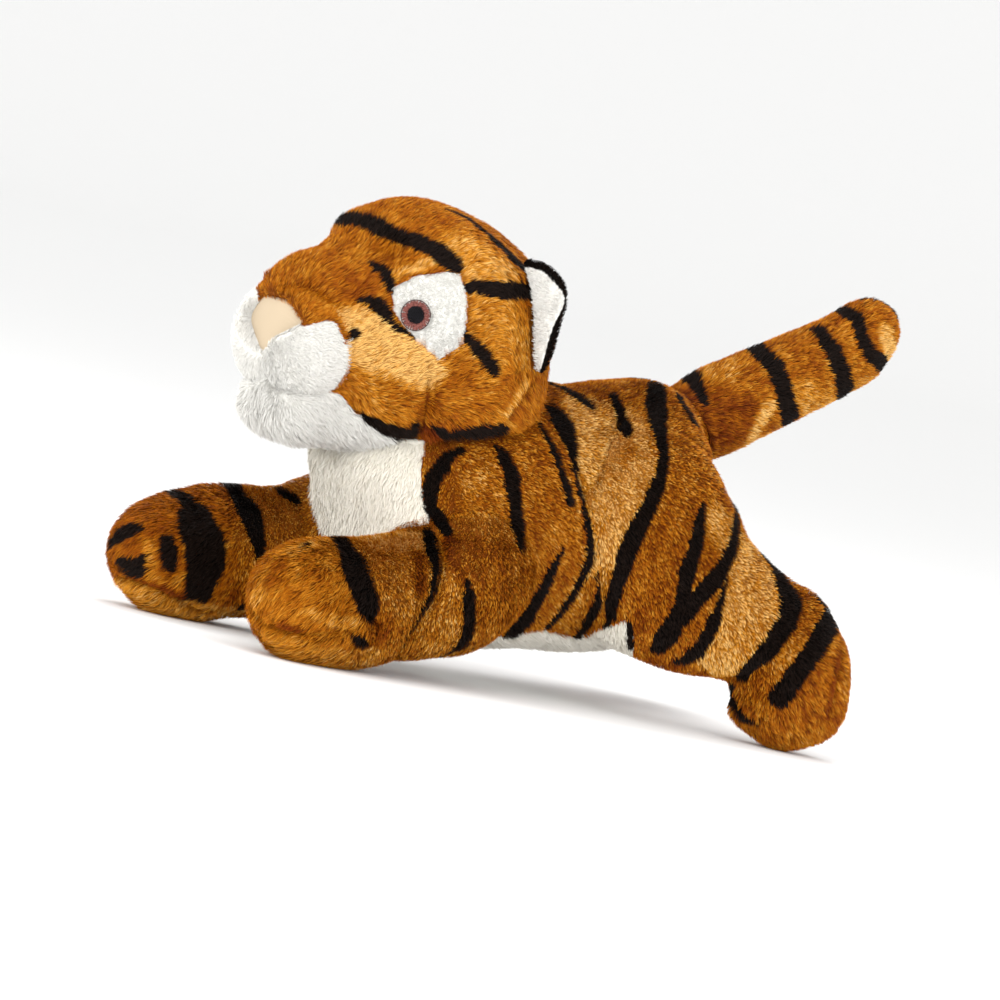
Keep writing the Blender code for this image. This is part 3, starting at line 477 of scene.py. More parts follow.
def eye_ways(side):
    """Where an eye looks, with the backward and upward ways in its plane."""
    forward, sideways, rise = EYE_AIM
    aim = unit(HEAD_FRONT * forward + Y_AXIS * (sideways * side) + HEAD_TOP * rise)
    back = unit(np.cross(Z_AXIS, aim))
    back = back if back[0] > 0 else -back
    up = np.cross(aim, back)
    return aim, back, up if up[2] > 0 else -up


def moved_out(points, way, holds, step=0.8 * MM, reach=0.15):
    """Points moved along a way until a neighbour no longer holds them, and how far each went."""
    points = points.copy()
    gone = np.zeros(len(points))
    for _ in range(int(reach / step)):
        stuck = holds(points)
        if not stuck.any():
            break
        points[stuck] += way * step
        gone[stuck] += step
    return points, gone


# ------------------------------------------------------------------ meshes


def grid_faces(rings, points):
    """The four-cornered faces of a grid whose rings close."""
    ring, step = np.meshgrid(np.arange(rings - 1), np.arange(points), indexing="ij")
    after = (step + 1) % points
    low, high = ring * points, (ring + 1) * points
    return np.stack([low + step, low + after, high + after, high + step], axis=-1).reshape(-1, 4)


def mesh_object(name, places, loops, sizes):
    """An object from vertex places, corner indices and the number of corners of each face."""
    mesh = bpy.data.meshes.new(name)
    mesh.vertices.add(len(places))
    mesh.vertices.foreach_set("co", np.ascontiguousarray(places, np.float32).ravel())
    mesh.loops.add(len(loops))
    mesh.loops.foreach_set("vertex_index", np.ascontiguousarray(loops, np.int32))
    starts = np.concatenate([[0], np.cumsum(sizes)[:-1]])
    mesh.polygons.add(len(sizes))
    mesh.polygons.foreach_set("loop_start", np.ascontiguousarray(starts, np.int32))
    mesh.polygons.foreach_set("loop_total", np.ascontiguousarray(sizes, np.int32))
    mesh.polygons.foreach_set("use_smooth", np.ones(len(sizes), bool))
    mesh.update(calc_edges=True)
    made = bpy.data.objects.new(name, mesh)
    bpy.context.scene.collection.objects.link(made)
    return made


def skin_object(name, grid, colours, look):
    """A closed skin over a grid of rings, with a colour at each vertex. The first and last rings
    become one tip each."""
    rings, points = grid.shape[:2]
    inner = grid[1:-1].reshape(-1, 3)
    tips = np.stack([grid[0].mean(axis=0), grid[-1].mean(axis=0)])
    faces = grid_faces(rings - 2, points)
    step = np.arange(points)
    after = (step + 1) % points
    first, last = len(inner), len(inner) + 1
    end = (rings - 3) * points
    caps = np.concatenate([
        np.stack([np.full(points, first), after, step], axis=-1),
        np.stack([np.full(points, last), end + step, end + after], axis=-1),
    ])
    middle = inner.mean(axis=0)
    corners = inner[faces[:, :3]]
    facing = np.cross(corners[:, 1] - corners[:, 0], corners[:, 2] - corners[:, 0])
    if (facing * (corners.mean(axis=1) - middle)).sum() < 0:
        faces, caps = faces[:, ::-1], caps[:, ::-1]
    loops = np.concatenate([faces.ravel(), caps.ravel()])
    sizes = np.concatenate([np.full(len(faces), 4), np.full(len(caps), 3)])
    made = mesh_object(name, np.concatenate([inner, tips]), loops, sizes)
    dyes = colours.reshape(rings, points, 3)
    values = np.concatenate([dyes[1:-1].reshape(-1, 3), dyes[0, :1], dyes[-1, :1]])
    layer = made.data.color_attributes.new("dye", "FLOAT_COLOR", "POINT")
    layer.data.foreach_set(
        "color", np.column_stack([values, np.ones(len(values))]).astype(np.float32).ravel()
    )
    made.data.materials.append(look)
    return made


# ------------------------------------------------------------------ dyes

# The golden dye's colours at a hair's root and at its tip, from its deepest tone to its palest
GOLDEN_TONES = (
    ((0.050, 0.007, 0.001), (0.200, 0.034, 0.002)),
    ((0.090, 0.018, 0.001), (0.330, 0.080, 0.003)),
    ((0.160, 0.038, 0.002), (0.500, 0.152, 0.004)),
    ((0.260, 0.085, 0.006), (0.740, 0.320, 0.026)),
    ((0.420, 0.190, 0.040), (0.970, 0.620, 0.200)),
)
# The other dyes' colours at a hair's root and at its tip, each in a dark and a light shade
PLAIN_DYES = (
    (((0.002, 0.001, 0.001), (0.005, 0.003, 0.002)), ((0.003, 0.002, 0.001), (0.020, 0.011, 0.008))),
    (((0.740, 0.705, 0.610), (0.800, 0.765, 0.675)), ((0.780, 0.745, 0.660), (0.880, 0.850, 0.775))),
    (((0.570, 0.560, 0.530), (0.610, 0.600, 0.568)), ((0.730, 0.718, 0.682), (0.780, 0.768, 0.735))),
)
GOLDEN, BLACK, CREAM, WHITE = range(4)
GOLDEN_WIDTH = 0.55
PLAIN_WIDTH = (1 - GOLDEN_WIDTH) / 3


def dye_place(dyes, tones, shades):
    """Where a hair's dye lies on the dye card that the hairs read: the golden tones come first, then
    each plain dye from dark to light. A tone above 0.5 lightens a pale dye."""
    golden = GOLDEN_WIDTH * (0.02 + 0.94 * np.clip(tones + 0.55 * (shades - 0.5), 0, 1))
    shift = np.where(dyes == BLACK, 0, tones - 0.5)
    plain = GOLDEN_WIDTH + PLAIN_WIDTH * (dyes - 1 + 0.1 + 0.8 * np.clip(shades + shift, 0, 1))
    return np.where(dyes == GOLDEN, golden, plain)


def card_stops(end):
    """The dye card's stops for the hairs' roots or tips: a place and a colour each."""
    last = len(GOLDEN_TONES) - 1
    stops = [
        (GOLDEN_WIDTH * (0.02 + 0.94 * index / last), tone[end])
        for index, tone in enumerate(GOLDEN_TONES)
    ]
    for index, shades in enumerate(PLAIN_DYES):
        for place, shade in ((0.04, shades[0]), (0.96, shades[1])):
            stops.append((GOLDEN_WIDTH + PLAIN_WIDTH * (index + place), shade[end]))
    return stops


def skin_colours(dyes, tones, points):
    """The cloth under the hairs: the dye's root colour, mottled by a fine noise."""
    stops = card_stops(0)
    places = [place for place, _ in stops]
    at = dye_place(dyes, tones, np.full(len(points), 0.5))
    colours = np.stack([np.interp(at, places, [c[k] for _, c in stops]) for k in range(3)], axis=1)
    mottle = 1 + 0.25 * waves(points, 3 * MM, 5)
    return colours * mottle[:, None]


# ------------------------------------------------------------------ materials


def new_material(name):
    """A material with its shader, and its node tree."""
    made = bpy.data.materials.new(name)
    made.use_nodes = True
    return made, made.node_tree, made.node_tree.nodes["Principled BSDF"]


def add(tree, kind, **settings):
    """A node with its settings."""
    node = tree.nodes.new(kind)
    for key, value in settings.items():
        setattr(node, key, value)
    return node


def card_ramp(tree, end):
    """The dye card for the hairs' roots or tips, as a ramp."""
    ramp = add(tree, "ShaderNodeValToRGB")
    stops = ramp.color_ramp.elements
    card = card_stops(end)
    stops[0].position, stops[-1].position = card[0][0], card[-1][0]
    stops[0].color, stops[-1].color = (*card[0][1], 1), (*card[-1][1], 1)
    for place, colour in card[1:-1]:
        stops.new(place).color = (*colour, 1)
    return ramp


def pile_look(name, roughness=0.5):
    """Dyed hairs. Across the hairs' map runs the dye with its shade, and up it runs a hair from its
    root to its tip."""
    made, tree, shader = new_material(name)
    place = add(tree, "ShaderNodeUVMap", uv_map="OFBake")
    split = add(tree, "ShaderNodeSeparateXYZ")
    tree.links.new(place.outputs["UV"], split.inputs[0])
    root, tip = card_ramp(tree, 0), card_ramp(tree, 1)
    tree.links.new(split.outputs["X"], root.inputs["Fac"])
    tree.links.new(split.outputs["X"], tip.inputs["Fac"])
    rise = add(tree, "ShaderNodeMapRange", interpolation_type="SMOOTHSTEP")
    rise.inputs["From Min"].default_value = 0.12
    rise.inputs["From Max"].default_value = 0.92
    tree.links.new(split.outputs["Y"], rise.inputs["Value"])
    mix = add(tree, "ShaderNodeMix", data_type="RGBA")
    tree.links.new(rise.outputs["Result"], mix.inputs["Factor"])
    tree.links.new(root.outputs["Color"], mix.inputs["A"])
    tree.links.new(tip.outputs["Color"], mix.inputs["B"])
    tree.links.new(mix.outputs["Result"], shader.inputs["Base Color"])
    shader.inputs["Roughness"].default_value = roughness
    shader.inputs["Specular IOR Level"].default_value = 0.06
    return made


def cloth_look(name):
    """The knitted ground cloth under the pile: its dye, with a fine mesh of loops."""
    made, tree, shader = new_material(name)
    dye = add(tree, "ShaderNodeAttribute", attribute_name="dye")
    place = add(tree, "ShaderNodeTexCoord")
    noise = add(tree, "ShaderNodeTexNoise")
    noise.inputs["Scale"].default_value = 900
    noise.inputs["Detail"].default_value = 3
    tree.links.new(place.outputs["Object"], noise.inputs["Vector"])
    shade = add(tree, "ShaderNodeMapRange")
    shade.inputs["To Min"].default_value = 0.75
    shade.inputs["To Max"].default_value = 1.25
    tree.links.new(noise.outputs["Fac"], shade.inputs["Value"])
    mix = add(tree, "ShaderNodeVectorMath", operation="SCALE")
    tree.links.new(dye.outputs["Color"], mix.inputs[0])
    tree.links.new(shade.outputs["Result"], mix.inputs["Scale"])
    tree.links.new(mix.outputs["Vector"], shader.inputs["Base Color"])
    shader.inputs["Roughness"].default_value = 0.95
    shader.inputs["Specular IOR Level"].default_value = 0.1
    return made


def velour_look(name):
    """Peach velour with fine ribs: bands across the nose, softened by a fine noise."""
    made, tree, shader = new_material(name)
    place = add(tree, "ShaderNodeTexCoord")
    ribs = add(tree, "ShaderNodeTexWave", bands_direction="Y", wave_profile="SIN")
    ribs.inputs["Scale"].default_value = 480
    ribs.inputs["Distortion"].default_value = 1.2
    ribs.inputs["Detail"].default_value = 2
    tree.links.new(place.outputs["Object"], ribs.inputs["Vector"])
    fuzz = add(tree, "ShaderNodeTexNoise")
    fuzz.inputs["Scale"].default_value = 2200
    fuzz.inputs["Detail"].default_value = 3
    tree.links.new(place.outputs["Object"], fuzz.inputs["Vector"])
    both = add(tree, "ShaderNodeMath", operation="MULTIPLY_ADD")
    tree.links.new(fuzz.outputs["Fac"], both.inputs[0])
    both.inputs[1].default_value = 0.5
    tree.links.new(ribs.outputs["Fac"], both.inputs[2])
    ramp = add(tree, "ShaderNodeValToRGB")
    ramp.color_ramp.elements[0].color = (0.43, 0.340, 0.230, 1)
    ramp.color_ramp.elements[1].color = (0.53, 0.428, 0.305, 1)
    tree.links.new(both.outputs["Value"], ramp.inputs["Fac"])
    tree.links.new(ramp.outputs["Color"], shader.inputs["Base Color"])
    bump = add(tree, "ShaderNodeBump")
    bump.inputs["Strength"].default_value = 0.35
    bump.inputs["Distance"].default_value = 0.0002
    tree.links.new(both.outputs["Value"], bump.inputs["Height"])
    tree.links.new(bump.outputs["Normal"], shader.inputs["Normal"])
    shader.inputs["Roughness"].default_value = 0.85
    shader.inputs["Specular IOR Level"].default_value = 0.1
    return made


def thread_look(name, dark, light, roughness=0.42):
    """Shiny embroidery thread, its shade varied by a fine noise."""
    made, tree, shader = new_material(name)
    place = add(tree, "ShaderNodeTexCoord")
    noise = add(tree, "ShaderNodeTexNoise")
    noise.inputs["Scale"].default_value = 1500
    noise.inputs["Detail"].default_value = 2
    tree.links.new(place.outputs["Object"], noise.inputs["Vector"])
    ramp = add(tree, "ShaderNodeValToRGB")
    ramp.color_ramp.elements[0].position = 0.3
    ramp.color_ramp.elements[0].color = (*dark, 1)
    ramp.color_ramp.elements[1].position = 0.7
    ramp.color_ramp.elements[1].color = (*light, 1)
    tree.links.new(noise.outputs["Fac"], ramp.inputs["Fac"])
    tree.links.new(ramp.outputs["Color"], shader.inputs["Base Color"])
    shader.inputs["Roughness"].default_value = roughness
    shader.inputs["Specular IOR Level"].default_value = 0.12
    return made


def floor_look():
    """A pale matt floor."""
    made, tree, shader = new_material("pale_floor")
    shader.inputs["Base Color"].default_value = (0.93, 0.93, 0.925, 1)
    shader.inputs["Roughness"].default_value = 0.9
    shader.inputs["Specular IOR Level"].default_value = 0.1
    return made


# ------------------------------------------------------------------ stripes

# Strokes in the photograph's pixels: the dye, then places (x, y, width) along the stroke
HEAD_STROKES = (
    (BLACK, ((333, 230, 8), (342, 224, 11), (352, 221, 13), (366, 222, 15), (382, 229, 16), (395, 235, 14), (410, 240, 15), (424, 246, 17), (438, 253, 19), (450, 262, 18), (457, 268, 10))),
    (BLACK, ((369, 264, 4), (377, 267, 9), (385, 274, 12), (389, 284, 13), (393, 291, 7))),
    (BLACK, ((360, 300, 4), (370, 301, 9), (378, 305, 14), (385, 312, 14), (390, 320, 9), (396, 327, 6), (404, 331, 5), (412, 335, 4), (420, 340, 3))),
    (BLACK, ((340, 336, 8), (350, 335, 9), (358, 333, 8))),
    (BLACK, ((464, 288, 10), (477, 287, 14), (501, 291, 17), (527, 292, 17))),
    (BLACK, ((465, 332, 6), (473, 344, 13), (484, 356, 16), (491, 365, 15), (496, 373, 8))),
    (BLACK, ((346, 402, 3), (351, 411, 6), (367, 420, 10), (385, 428, 15), (400, 434, 20), (411, 434, 22), (417, 424, 8))),
    (BLACK, ((434, 427, 5), (447, 434, 12), (461, 441, 18), (477, 447, 23), (491, 450, 20), (502, 450, 10))),
    (BLACK, ((446, 212, 5), (466, 220, 9), (485, 235, 12), (500, 248, 14), (514, 262, 14), (528, 274, 13))),
)
BODY_STROKES = (
    (BLACK, ((461, 451, 8), (448, 457, 12), (441, 468, 17), (433, 480, 17), (430, 492, 16), (430, 507, 13), (438, 518, 14), (444, 527, 13), (449, 534, 7))),
    (BLACK, ((494, 447, 4), (501, 454, 11), (510, 473, 16), (512, 490, 17), (514, 507, 13), (516, 525, 15), (519, 540, 12), (520, 549, 7))),
    (BLACK, ((538, 425, 4), (544, 436, 6), (551, 447, 8), (556, 458, 8), (561, 477, 8), (566, 490, 10), (569, 503, 8))),
    (BLACK, ((548, 410, 10), (556, 415, 18), (562, 424, 21), (567, 434, 16), (570, 447, 12), (573, 462, 9), (576, 475, 9), (580, 493, 9), (585, 512, 9), (589, 528, 9), (590, 545, 9), (589, 560, 9), (581, 578, 8), (570, 597, 8), (557, 614, 8), (546, 626, 6))),
    (BLACK, ((550, 387, 11), (562, 391, 16), (575, 398, 18), (584, 404, 16), (590, 409, 9))),
    (BLACK, ((613, 397, 8), (616, 404, 9), (619, 412, 10), (623, 423, 11), (627, 432, 12), (627, 436, 8))),
    (BLACK, ((657, 384, 14), (656, 395, 20), (655, 408, 20), (657, 423, 15), (660, 438, 11), (663, 453, 10), (662, 468, 11), (656, 490, 15), (649, 507, 16), (639, 526, 20), (630, 544, 20), (624, 562, 18), (619, 579, 15), (614, 596, 15), (611, 611, 13), (607, 625, 10))),
    (BLACK, ((561, 550, 4), (554, 563, 9), (547, 578, 11), (540, 592, 12), (531, 607, 13), (523, 620, 17), (513, 631, 16))),
    (BLACK, ((594, 550, 5), (597, 562, 5), (599, 577, 6), (598, 594, 7), (596, 609, 9), (586, 624, 11), (578, 634, 8))),
    (BLACK, ((676, 397, 7), (682, 406, 9), (688, 416, 10), (694, 426, 8))),
    (BLACK, ((629, 622, 6), (631, 634, 8), (631, 646, 6))),
)
HIND_STROKES = (
    (BLACK, ((702, 506, 5), (698, 522, 12), (696, 540, 14), (692, 555, 17), (686, 573, 18), (683, 590, 16), (681, 605, 14), (676, 620, 20), (667, 635, 24), (659, 646, 16))),
    (BLACK, ((729, 500, 3), (734, 512, 9), (734, 525, 11), (733, 540, 11), (729, 555, 12), (720, 570, 17), (711, 583, 19), (700, 595, 18), (691, 607, 16), (684, 619, 12))),
    (BLACK, ((727, 577, 2), (722, 594, 6), (718, 609, 10), (712, 624, 14), (706, 638, 14), (697, 651, 16), (686, 658, 10), (678, 660, 6))),
    (BLACK, ((764, 558, 12), (778, 577, 18), (790, 600, 22), (787, 622, 20), (768, 650, 20), (741, 677, 14))),
    (BLACK, ((820, 600, 12), (830, 620, 18), (815, 648, 22), (799, 671, 22), (780, 698, 22))),
    (BLACK, ((734, 683, 7), (733, 700, 10), (742, 716, 10), (757, 722, 6))),
)
FRONT_LEFT_STROKES = (
    (BLACK, ((339, 542, 12), (350, 557, 19), (354, 572, 25), (360, 588, 27), (366, 602, 25), (371, 614, 17))),
    (BLACK, ((428, 533, 12), (432, 554, 13), (436, 570, 11), (433, 589, 10), (426, 604, 7), (418, 617, 5), (412, 629, 5), (403, 642, 4), (396, 654, 4))),
    (BLACK, ((467, 583, 6), (468, 599, 12), (468, 619, 11), (466, 634, 12), (460, 645, 11), (446, 651, 5), (436, 655, 3))),
    (BLACK, ((353, 637, 8), (359, 641, 12), (364, 645, 8))),
    (BLACK, ((301, 551, 3), (311, 547, 3))),
)
FRONT_RIGHT_STROKES = (
    (BLACK, ((162, 492, 10), (175, 496, 12), (186, 503, 15), (191, 510, 14))),
    (BLACK, ((195, 512, 26), (196, 526, 38), (203, 542, 41), (205, 559, 40), (200, 580, 32), (196, 595, 24), (200, 604, 8))),
    (BLACK, ((227, 482, 14), (236, 495, 15), (244, 505, 19), (251, 517, 22), (256, 535, 18), (259, 547, 13), (260, 560, 9), (260, 568, 4))),
    (BLACK, ((278, 491, 8), (286, 496, 11), (295, 502, 9))),
    (BLACK, ((167, 543, 15), (168, 555, 20), (170, 566, 14))),
    (BLACK, ((114, 545, 8), (124, 536, 14), (136, 531, 12), (143, 530, 6))),
    (BLACK, ((123, 562, 8), (131, 566, 16), (139, 568, 18), (143, 558, 8))),
    (BLACK, ((228, 616, 6), (236, 610, 9), (244, 603, 9), (248, 600, 6))),
)
TAIL_STROKES = (
    (BLACK, ((686, 375, 10), (694, 380, 16), (699, 390, 15), (703, 402, 10))),
    (BLACK, ((747, 343, 12), (762, 354, 16), (774, 367, 18), (783, 390, 19), (789, 419, 16))),
    (BLACK, ((818, 331, 12), (831, 349, 17), (841, 372, 18), (845, 399, 15))),
    (BLACK, ((839, 310, 10), (857, 319, 14), (861, 338, 13), (869, 354, 14), (882, 364, 12))),
    (BLACK, ((864, 295, 10), (882, 297, 12), (899, 312, 11))),
)

# Strokes of a golden tone, from 0, deep rust, to 1, pale: the tone, then places (x, y, width). Some are painted light
# and shade, as marked: painted shade along creases and folds, tones raised against shadow, and a painted highlight.
HEAD_TONES = (
    (0.47, ((330, 270, 60), (420, 220, 60), (480, 240, 50))),
    (0.62, ((480, 320, 60), (515, 340, 50))),
    (0.78, ((466, 258, 26), (500, 276, 24))),
    (1.05, ((350, 318, 18), (362, 336, 34), (385, 352, 44), (410, 366, 34), (434, 380, 16))),
    (0.80, ((388, 285, 5), (400, 272, 7), (430, 264, 7))),
    (0.56, ((360, 390, 26), (400, 405, 26))),
    # painted shade: a deep tone along the first of HEAD_CREASES, where the fold lies in shade
    (0.16, ((427, 392, 5), (424, 412, 6), (421, 430, 8))),
    (0.45, ((460, 400, 40), (515, 410, 50))),
    (0.05, ((424, 444, 14), (455, 449, 14), (480, 450, 8))),
    (0.72, ((524, 384, 4), (505, 412, 4))),
    (0.28, ((375, 280, 10), (368, 294, 8))),
    (0.34, ((345, 285, 26), (310, 290, 20))),
)
BODY_TONES = (
    (0.58, ((470, 470, 26), (485, 500, 30))),
    (0.50, ((540, 520, 60), (520, 590, 60))),
    (0.84, ((582, 405, 10), (602, 430, 56), (616, 460, 76), (614, 490, 66), (608, 530, 40), (602, 565, 20))),
    (0.66, ((604, 575, 12), (606, 600, 10))),
    (0.52, ((680, 440, 40), (700, 490, 44))),
    (0.30, ((575, 384, 8), (600, 398, 8))),
    # painted shade: the deep tone in the fold where the front leg meets the torso
    (0.12, ((446, 542, 10), (456, 550, 16), (464, 566, 12))),
    # painted shade: a darker narrow band along the waist crease
    (0.38, ((556, 440, 3), (572, 478, 3), (582, 510, 3), (586, 540, 4))),
    (0.62, ((560, 610, 16), (575, 600, 14))),
)
HIND_TONES = (
    (0.42, ((660, 580, 60), (640, 640, 40), (700, 540, 30))),
    (0.84, ((716, 520, 8), (748, 560, 26), (752, 600, 50), (742, 640, 50), (722, 660, 30))),
    (0.62, ((800, 640, 8), (778, 668, 8))),
    (0.42, ((760, 700, 40), (810, 700, 40))),
    # painted shade: a deep tone along the first of HIND_CREASES
    (0.12, ((838, 655, 4), (832, 690, 5), (826, 715, 5))),
    (0.62, ((845, 660, 4), (842, 700, 4))),
    (0.28, ((655, 660, 12), (700, 672, 10))),
)
FRONT_LEFT_TONES = (
    (0.52, ((300, 590, 90), (320, 630, 60))),
    # painted light: this stroke and the next two raise the forearm's top and its join with the torso above the leg's
    # own golden, against the shadow of the head
    (0.66, ((400, 570, 50), (440, 600, 50), (450, 640, 40))),
    (0.82, ((370, 542, 14), (395, 540, 22), (420, 542, 20))),
    (0.66, ((495, 535, 26), (500, 560, 40), (490, 585, 30))),
    (0.70, ((258, 600, 8), (285, 558, 8), (325, 543, 6))),
    (0.70, ((305, 612, 5), (330, 620, 8), (355, 622, 7))),
    # painted shade: a deep tone along the second of FRONT_LEFT_CREASES
    (0.24, ((374, 619, 9), (383, 630, 10), (374, 644, 8))),
    (0.36, ((283, 565, 8), (272, 585, 7))),
    # painted shade: a deep tone along the third of FRONT_LEFT_CREASES
    (0.10, ((284, 624, 5), (296, 630, 6), (306, 634, 4))),
    (0.78, ((290, 650, 8), (330, 656, 10), (370, 654, 8))),
    (0.25, ((420, 560, 8), (418, 590, 8))),
    # painted shade: the deep tone in the fold where the front leg meets the torso
    (0.14, ((456, 550, 12), (464, 566, 14), (467, 582, 6))),
    (0.50, ((500, 580, 50), (510, 620, 50), (480, 560, 30))),
)
FRONT_RIGHT_TONES = (
    # partly painted shade: the far leg's deeper tone, darker than the same golden on the near leg
    (0.30, ((210, 560, 90), (160, 540, 60))),
    # painted light: a paler tone between the paws, raised against the shadow of the head and chest
    (0.58, ((275, 520, 60), (300, 500, 60), (240, 560, 30))),
    (0.60, ((150, 545, 6), (152, 575, 8), (170, 590, 8), (180, 575, 5))),
    (0.55, ((182, 530, 4), (186, 560, 4))),
    (0.34, ((140, 520, 20), (180, 490, 8))),
    (0.42, ((215, 590, 22), (225, 560, 14))),
    # painted shade: a near black tone along the crease above the far paw's pale sole
    (0.04, ((136, 580, 4), (160, 586, 5), (185, 598, 5), (200, 606, 4))),
    (0.80, ((140, 592, 12), (165, 606, 14), (195, 616, 10))),
)
TAIL_TONES = (
    (0.46, ((700, 390, 60), (880, 330, 60))),
    # partly painted shade: the deep tone under the tail's root, where shade falls
    (0.20, ((692, 405, 30), (715, 425, 36), (742, 418, 26))),
    # painted highlight: a paler tone on top of the tail near its root
    (0.62, ((712, 376, 16), (735, 366, 14))),
    (0.86, ((762, 436, 12), (744, 446, 8), (770, 405, 8))),
    (0.72, ((800, 395, 22), (815, 405, 18), (865, 385, 14))),
    (0.90, ((884, 335, 10), (888, 352, 12))),
)

# Lines where a skin is drawn in: its depth and half width, then places (x, y)
BODY_CREASES = (
    (2.4, 1.8, ((541, 419), (566, 446), (580, 482), (589, 514), (594, 540), (598, 562), (601, 590), (606, 622))),
)
HEAD_CREASES = (
    (3.2, 2.8, ((426, 384), (423, 405), (420, 432))),
    (1.4, 1.8, ((533, 377), (520, 396), (506, 415))),
    (1.8, 2.6, ((344, 402), (369, 424), (400, 440), (418, 436), (424, 420), (440, 418))),
)
FRONT_LEFT_CREASES = (
    (3.2, 2.2, ((441, 536), (446, 556), (444, 577), (438, 598), (426, 617), (412, 635), (396, 657))),
    (2.4, 2.6, ((374, 614), (384, 626), (378, 642), (366, 652))),
    (3.0, 2.2, ((256, 610), (274, 626), (300, 634), (330, 632), (352, 628))),
)
FRONT_RIGHT_CREASES = (
    (2.6, 2.0, ((118, 572), (136, 580), (160, 588), (183, 599), (200, 608))),
    (1.8, 1.8, ((190, 504), (206, 505), (225, 501))),
)
HIND_CREASES = (
    (1.8, 2.0, ((840, 655), (836, 680), (829, 712))),
    (2.4, 3.0, ((728, 677), (745, 676), (762, 666))),
)

# Places where a skin is raised or sunk: the pixel, how far and over what reach
HEAD_BUMPS = (
    (340, 226, 2.0, 9),
    (324, 240, -4.2, 8),
    (305, 250, -1.5, 12),
    (365, 205, 1.0, 16),
    (283, 268, 4.4, 13),
    (262, 405, 7.5, 15),
    (252, 400, 6.0, 10),
    (285, 425, 3.0, 15),
    (388, 400, 3.0, 13),
    (470, 425, 1.5, 14),
    (415, 197, 1.8, 16),
    (478, 220, -1.8, 16),
    (520, 250, -3.0, 18),
    (531, 345, -3.0, 13),
    (527, 300, -1.5, 10),
)
BODY_BUMPS = (
    (600, 382, 1.2, 18),
    (650, 381, 1.2, 16),
    (722, 472, -8.3, 18),
    (560, 646, 1.8, 34),
)
FRONT_LEFT_BUMPS = (
    (246, 605, -2.0, 18),
    (262, 645, -0.8, 14),
    (445, 655, 1.2, 22),
)
FRONT_RIGHT_BUMPS = (
    (225, 489, 5.0, 24),
    (238, 620, -6.0, 12),
    (118, 592, -2.4, 16),
    (298, 480, 5.0, 14),
)
HIND_BUMPS = (
    (780, 567, 3.2, 22),
    (818, 596, 2.8, 16),
    (836, 735, 5.2, 14),
    (748, 740, -7.0, 13),
    (726, 690, -4.2, 9),
    (731, 716, 1.6, 8),
    (756, 545, 1.6, 12),
    (680, 668, 1.8, 22),
    (734, 500, -2.6, 13),
)
TAIL_BUMPS = (
    (872, 298, 4.6, 13),
    (897, 325, 0.8, 11),
    (892, 354, -4.5, 11),
    (700, 370, 1.5, 18),
    (750, 345, 1.2, 20),
    (810, 322, 0.8, 20),
)

# Areas of pale cloth, in the photograph's pixels
CHEST_AREA = (
    (280, 430), (295, 545), (350, 562), (436, 545), (440, 531), (430, 514), (422, 500), (421, 476), (424, 440),
)
BELLY_AREA = (
    (474, 664), (474, 651), (485, 643), (500, 636), (524, 631), (545, 628), (560, 632), (577, 637),
    (590, 633), (605, 627), (626, 621), (634, 640), (634, 670),
)
EAR_AREA = ((526, 271), (560, 271), (564, 300), (548, 360), (532, 377))
MUZZLE_GOLD_AREA = (
    (262, 262), (256, 300), (290, 318), (305, 327), (326, 321), (335, 323), (345, 345), (370, 300), (340, 250),
)
FAR_MUZZLE_GOLD_AREA = ((254, 270), (259, 300), (300, 318), (330, 310), (330, 240), (260, 240))


def search_tree(*grids):
    """A search tree over the faces of one or more skins."""
    places, faces, start = [], [], 0
    for grid in grids:
        rings, points = grid.shape[:2]
        places.append(grid.reshape(-1, 3))
        faces.append(grid_faces(rings, points) + start)
        start += rings * points
    return BVHTree.FromPolygons(np.concatenate(places).tolist(), np.concatenate(faces).tolist())


def laid_on(tree, centre, x, y):
    """Where a pixel's line of sight meets a skin, or the skin's nearest place to that line, which is
    found by going to and fro between the two."""
    way = Vector(sight(x, y))
    start = Vector(CAMERA_PLACE)
    hit = tree.ray_cast(start, way)[0]
    if hit is None:
        hit = Vector(centre)
        for _ in range(40):
            hit = tree.find_nearest(start + way * (hit - start).dot(way))[0]
    return np.array(hit)


def laid_strokes(tree, centre, strokes, step=3.0):
    """Strokes laid on skins: for each, its dye or tone and its places with half widths there. Half
    widths are measured between the stroke's two edges on the skin, so that they're right where the
    skin turns away."""
    pixel = CAMERA_DISTANCE / FOCAL_PIXELS
    laid = []
    for mark, stroke in strokes:
        stroke = np.array(stroke, float)
        gone = np.concatenate([[0], np.cumsum(np.linalg.norm(np.diff(stroke[:, :2], axis=0), axis=1))])
        at = np.linspace(0, gone[-1], max(2, int(gone[-1] / step) + 1))
        line = np.column_stack([np.interp(at, gone, stroke[:, k]) for k in range(3)])
        way = unit(np.gradient(line[:, :2], axis=0))
        places, halves = [], []
        for (x, y, width), (dx, dy) in zip(line, way):
            one = laid_on(tree, centre, x - dy * width / 2, y + dx * width / 2)
            other = laid_on(tree, centre, x + dy * width / 2, y - dx * width / 2)
            flat = width * pixel / 2
            places.append(laid_on(tree, centre, x, y))
            halves.append(min(max(np.linalg.norm(one - other) / 2, flat), flat * 1.35))
        laid.append((mark, np.array(places), np.array(halves)))
    return laid


def laid_lines(tree, centre, creases):
    """Creases laid on skins: for each, its depth, its half width and its places."""
    strokes = [((depth, width), [(x, y, 2) for x, y in line]) for depth, width, line in creases]
    return [(*mark, places) for mark, places, _ in laid_strokes(tree, centre, strokes)]


def mirrored(creases):
    """Creases and their twins on the other side."""
    return creases + [(d, w, places * np.array([1, -1, 1])) for d, w, places in creases]


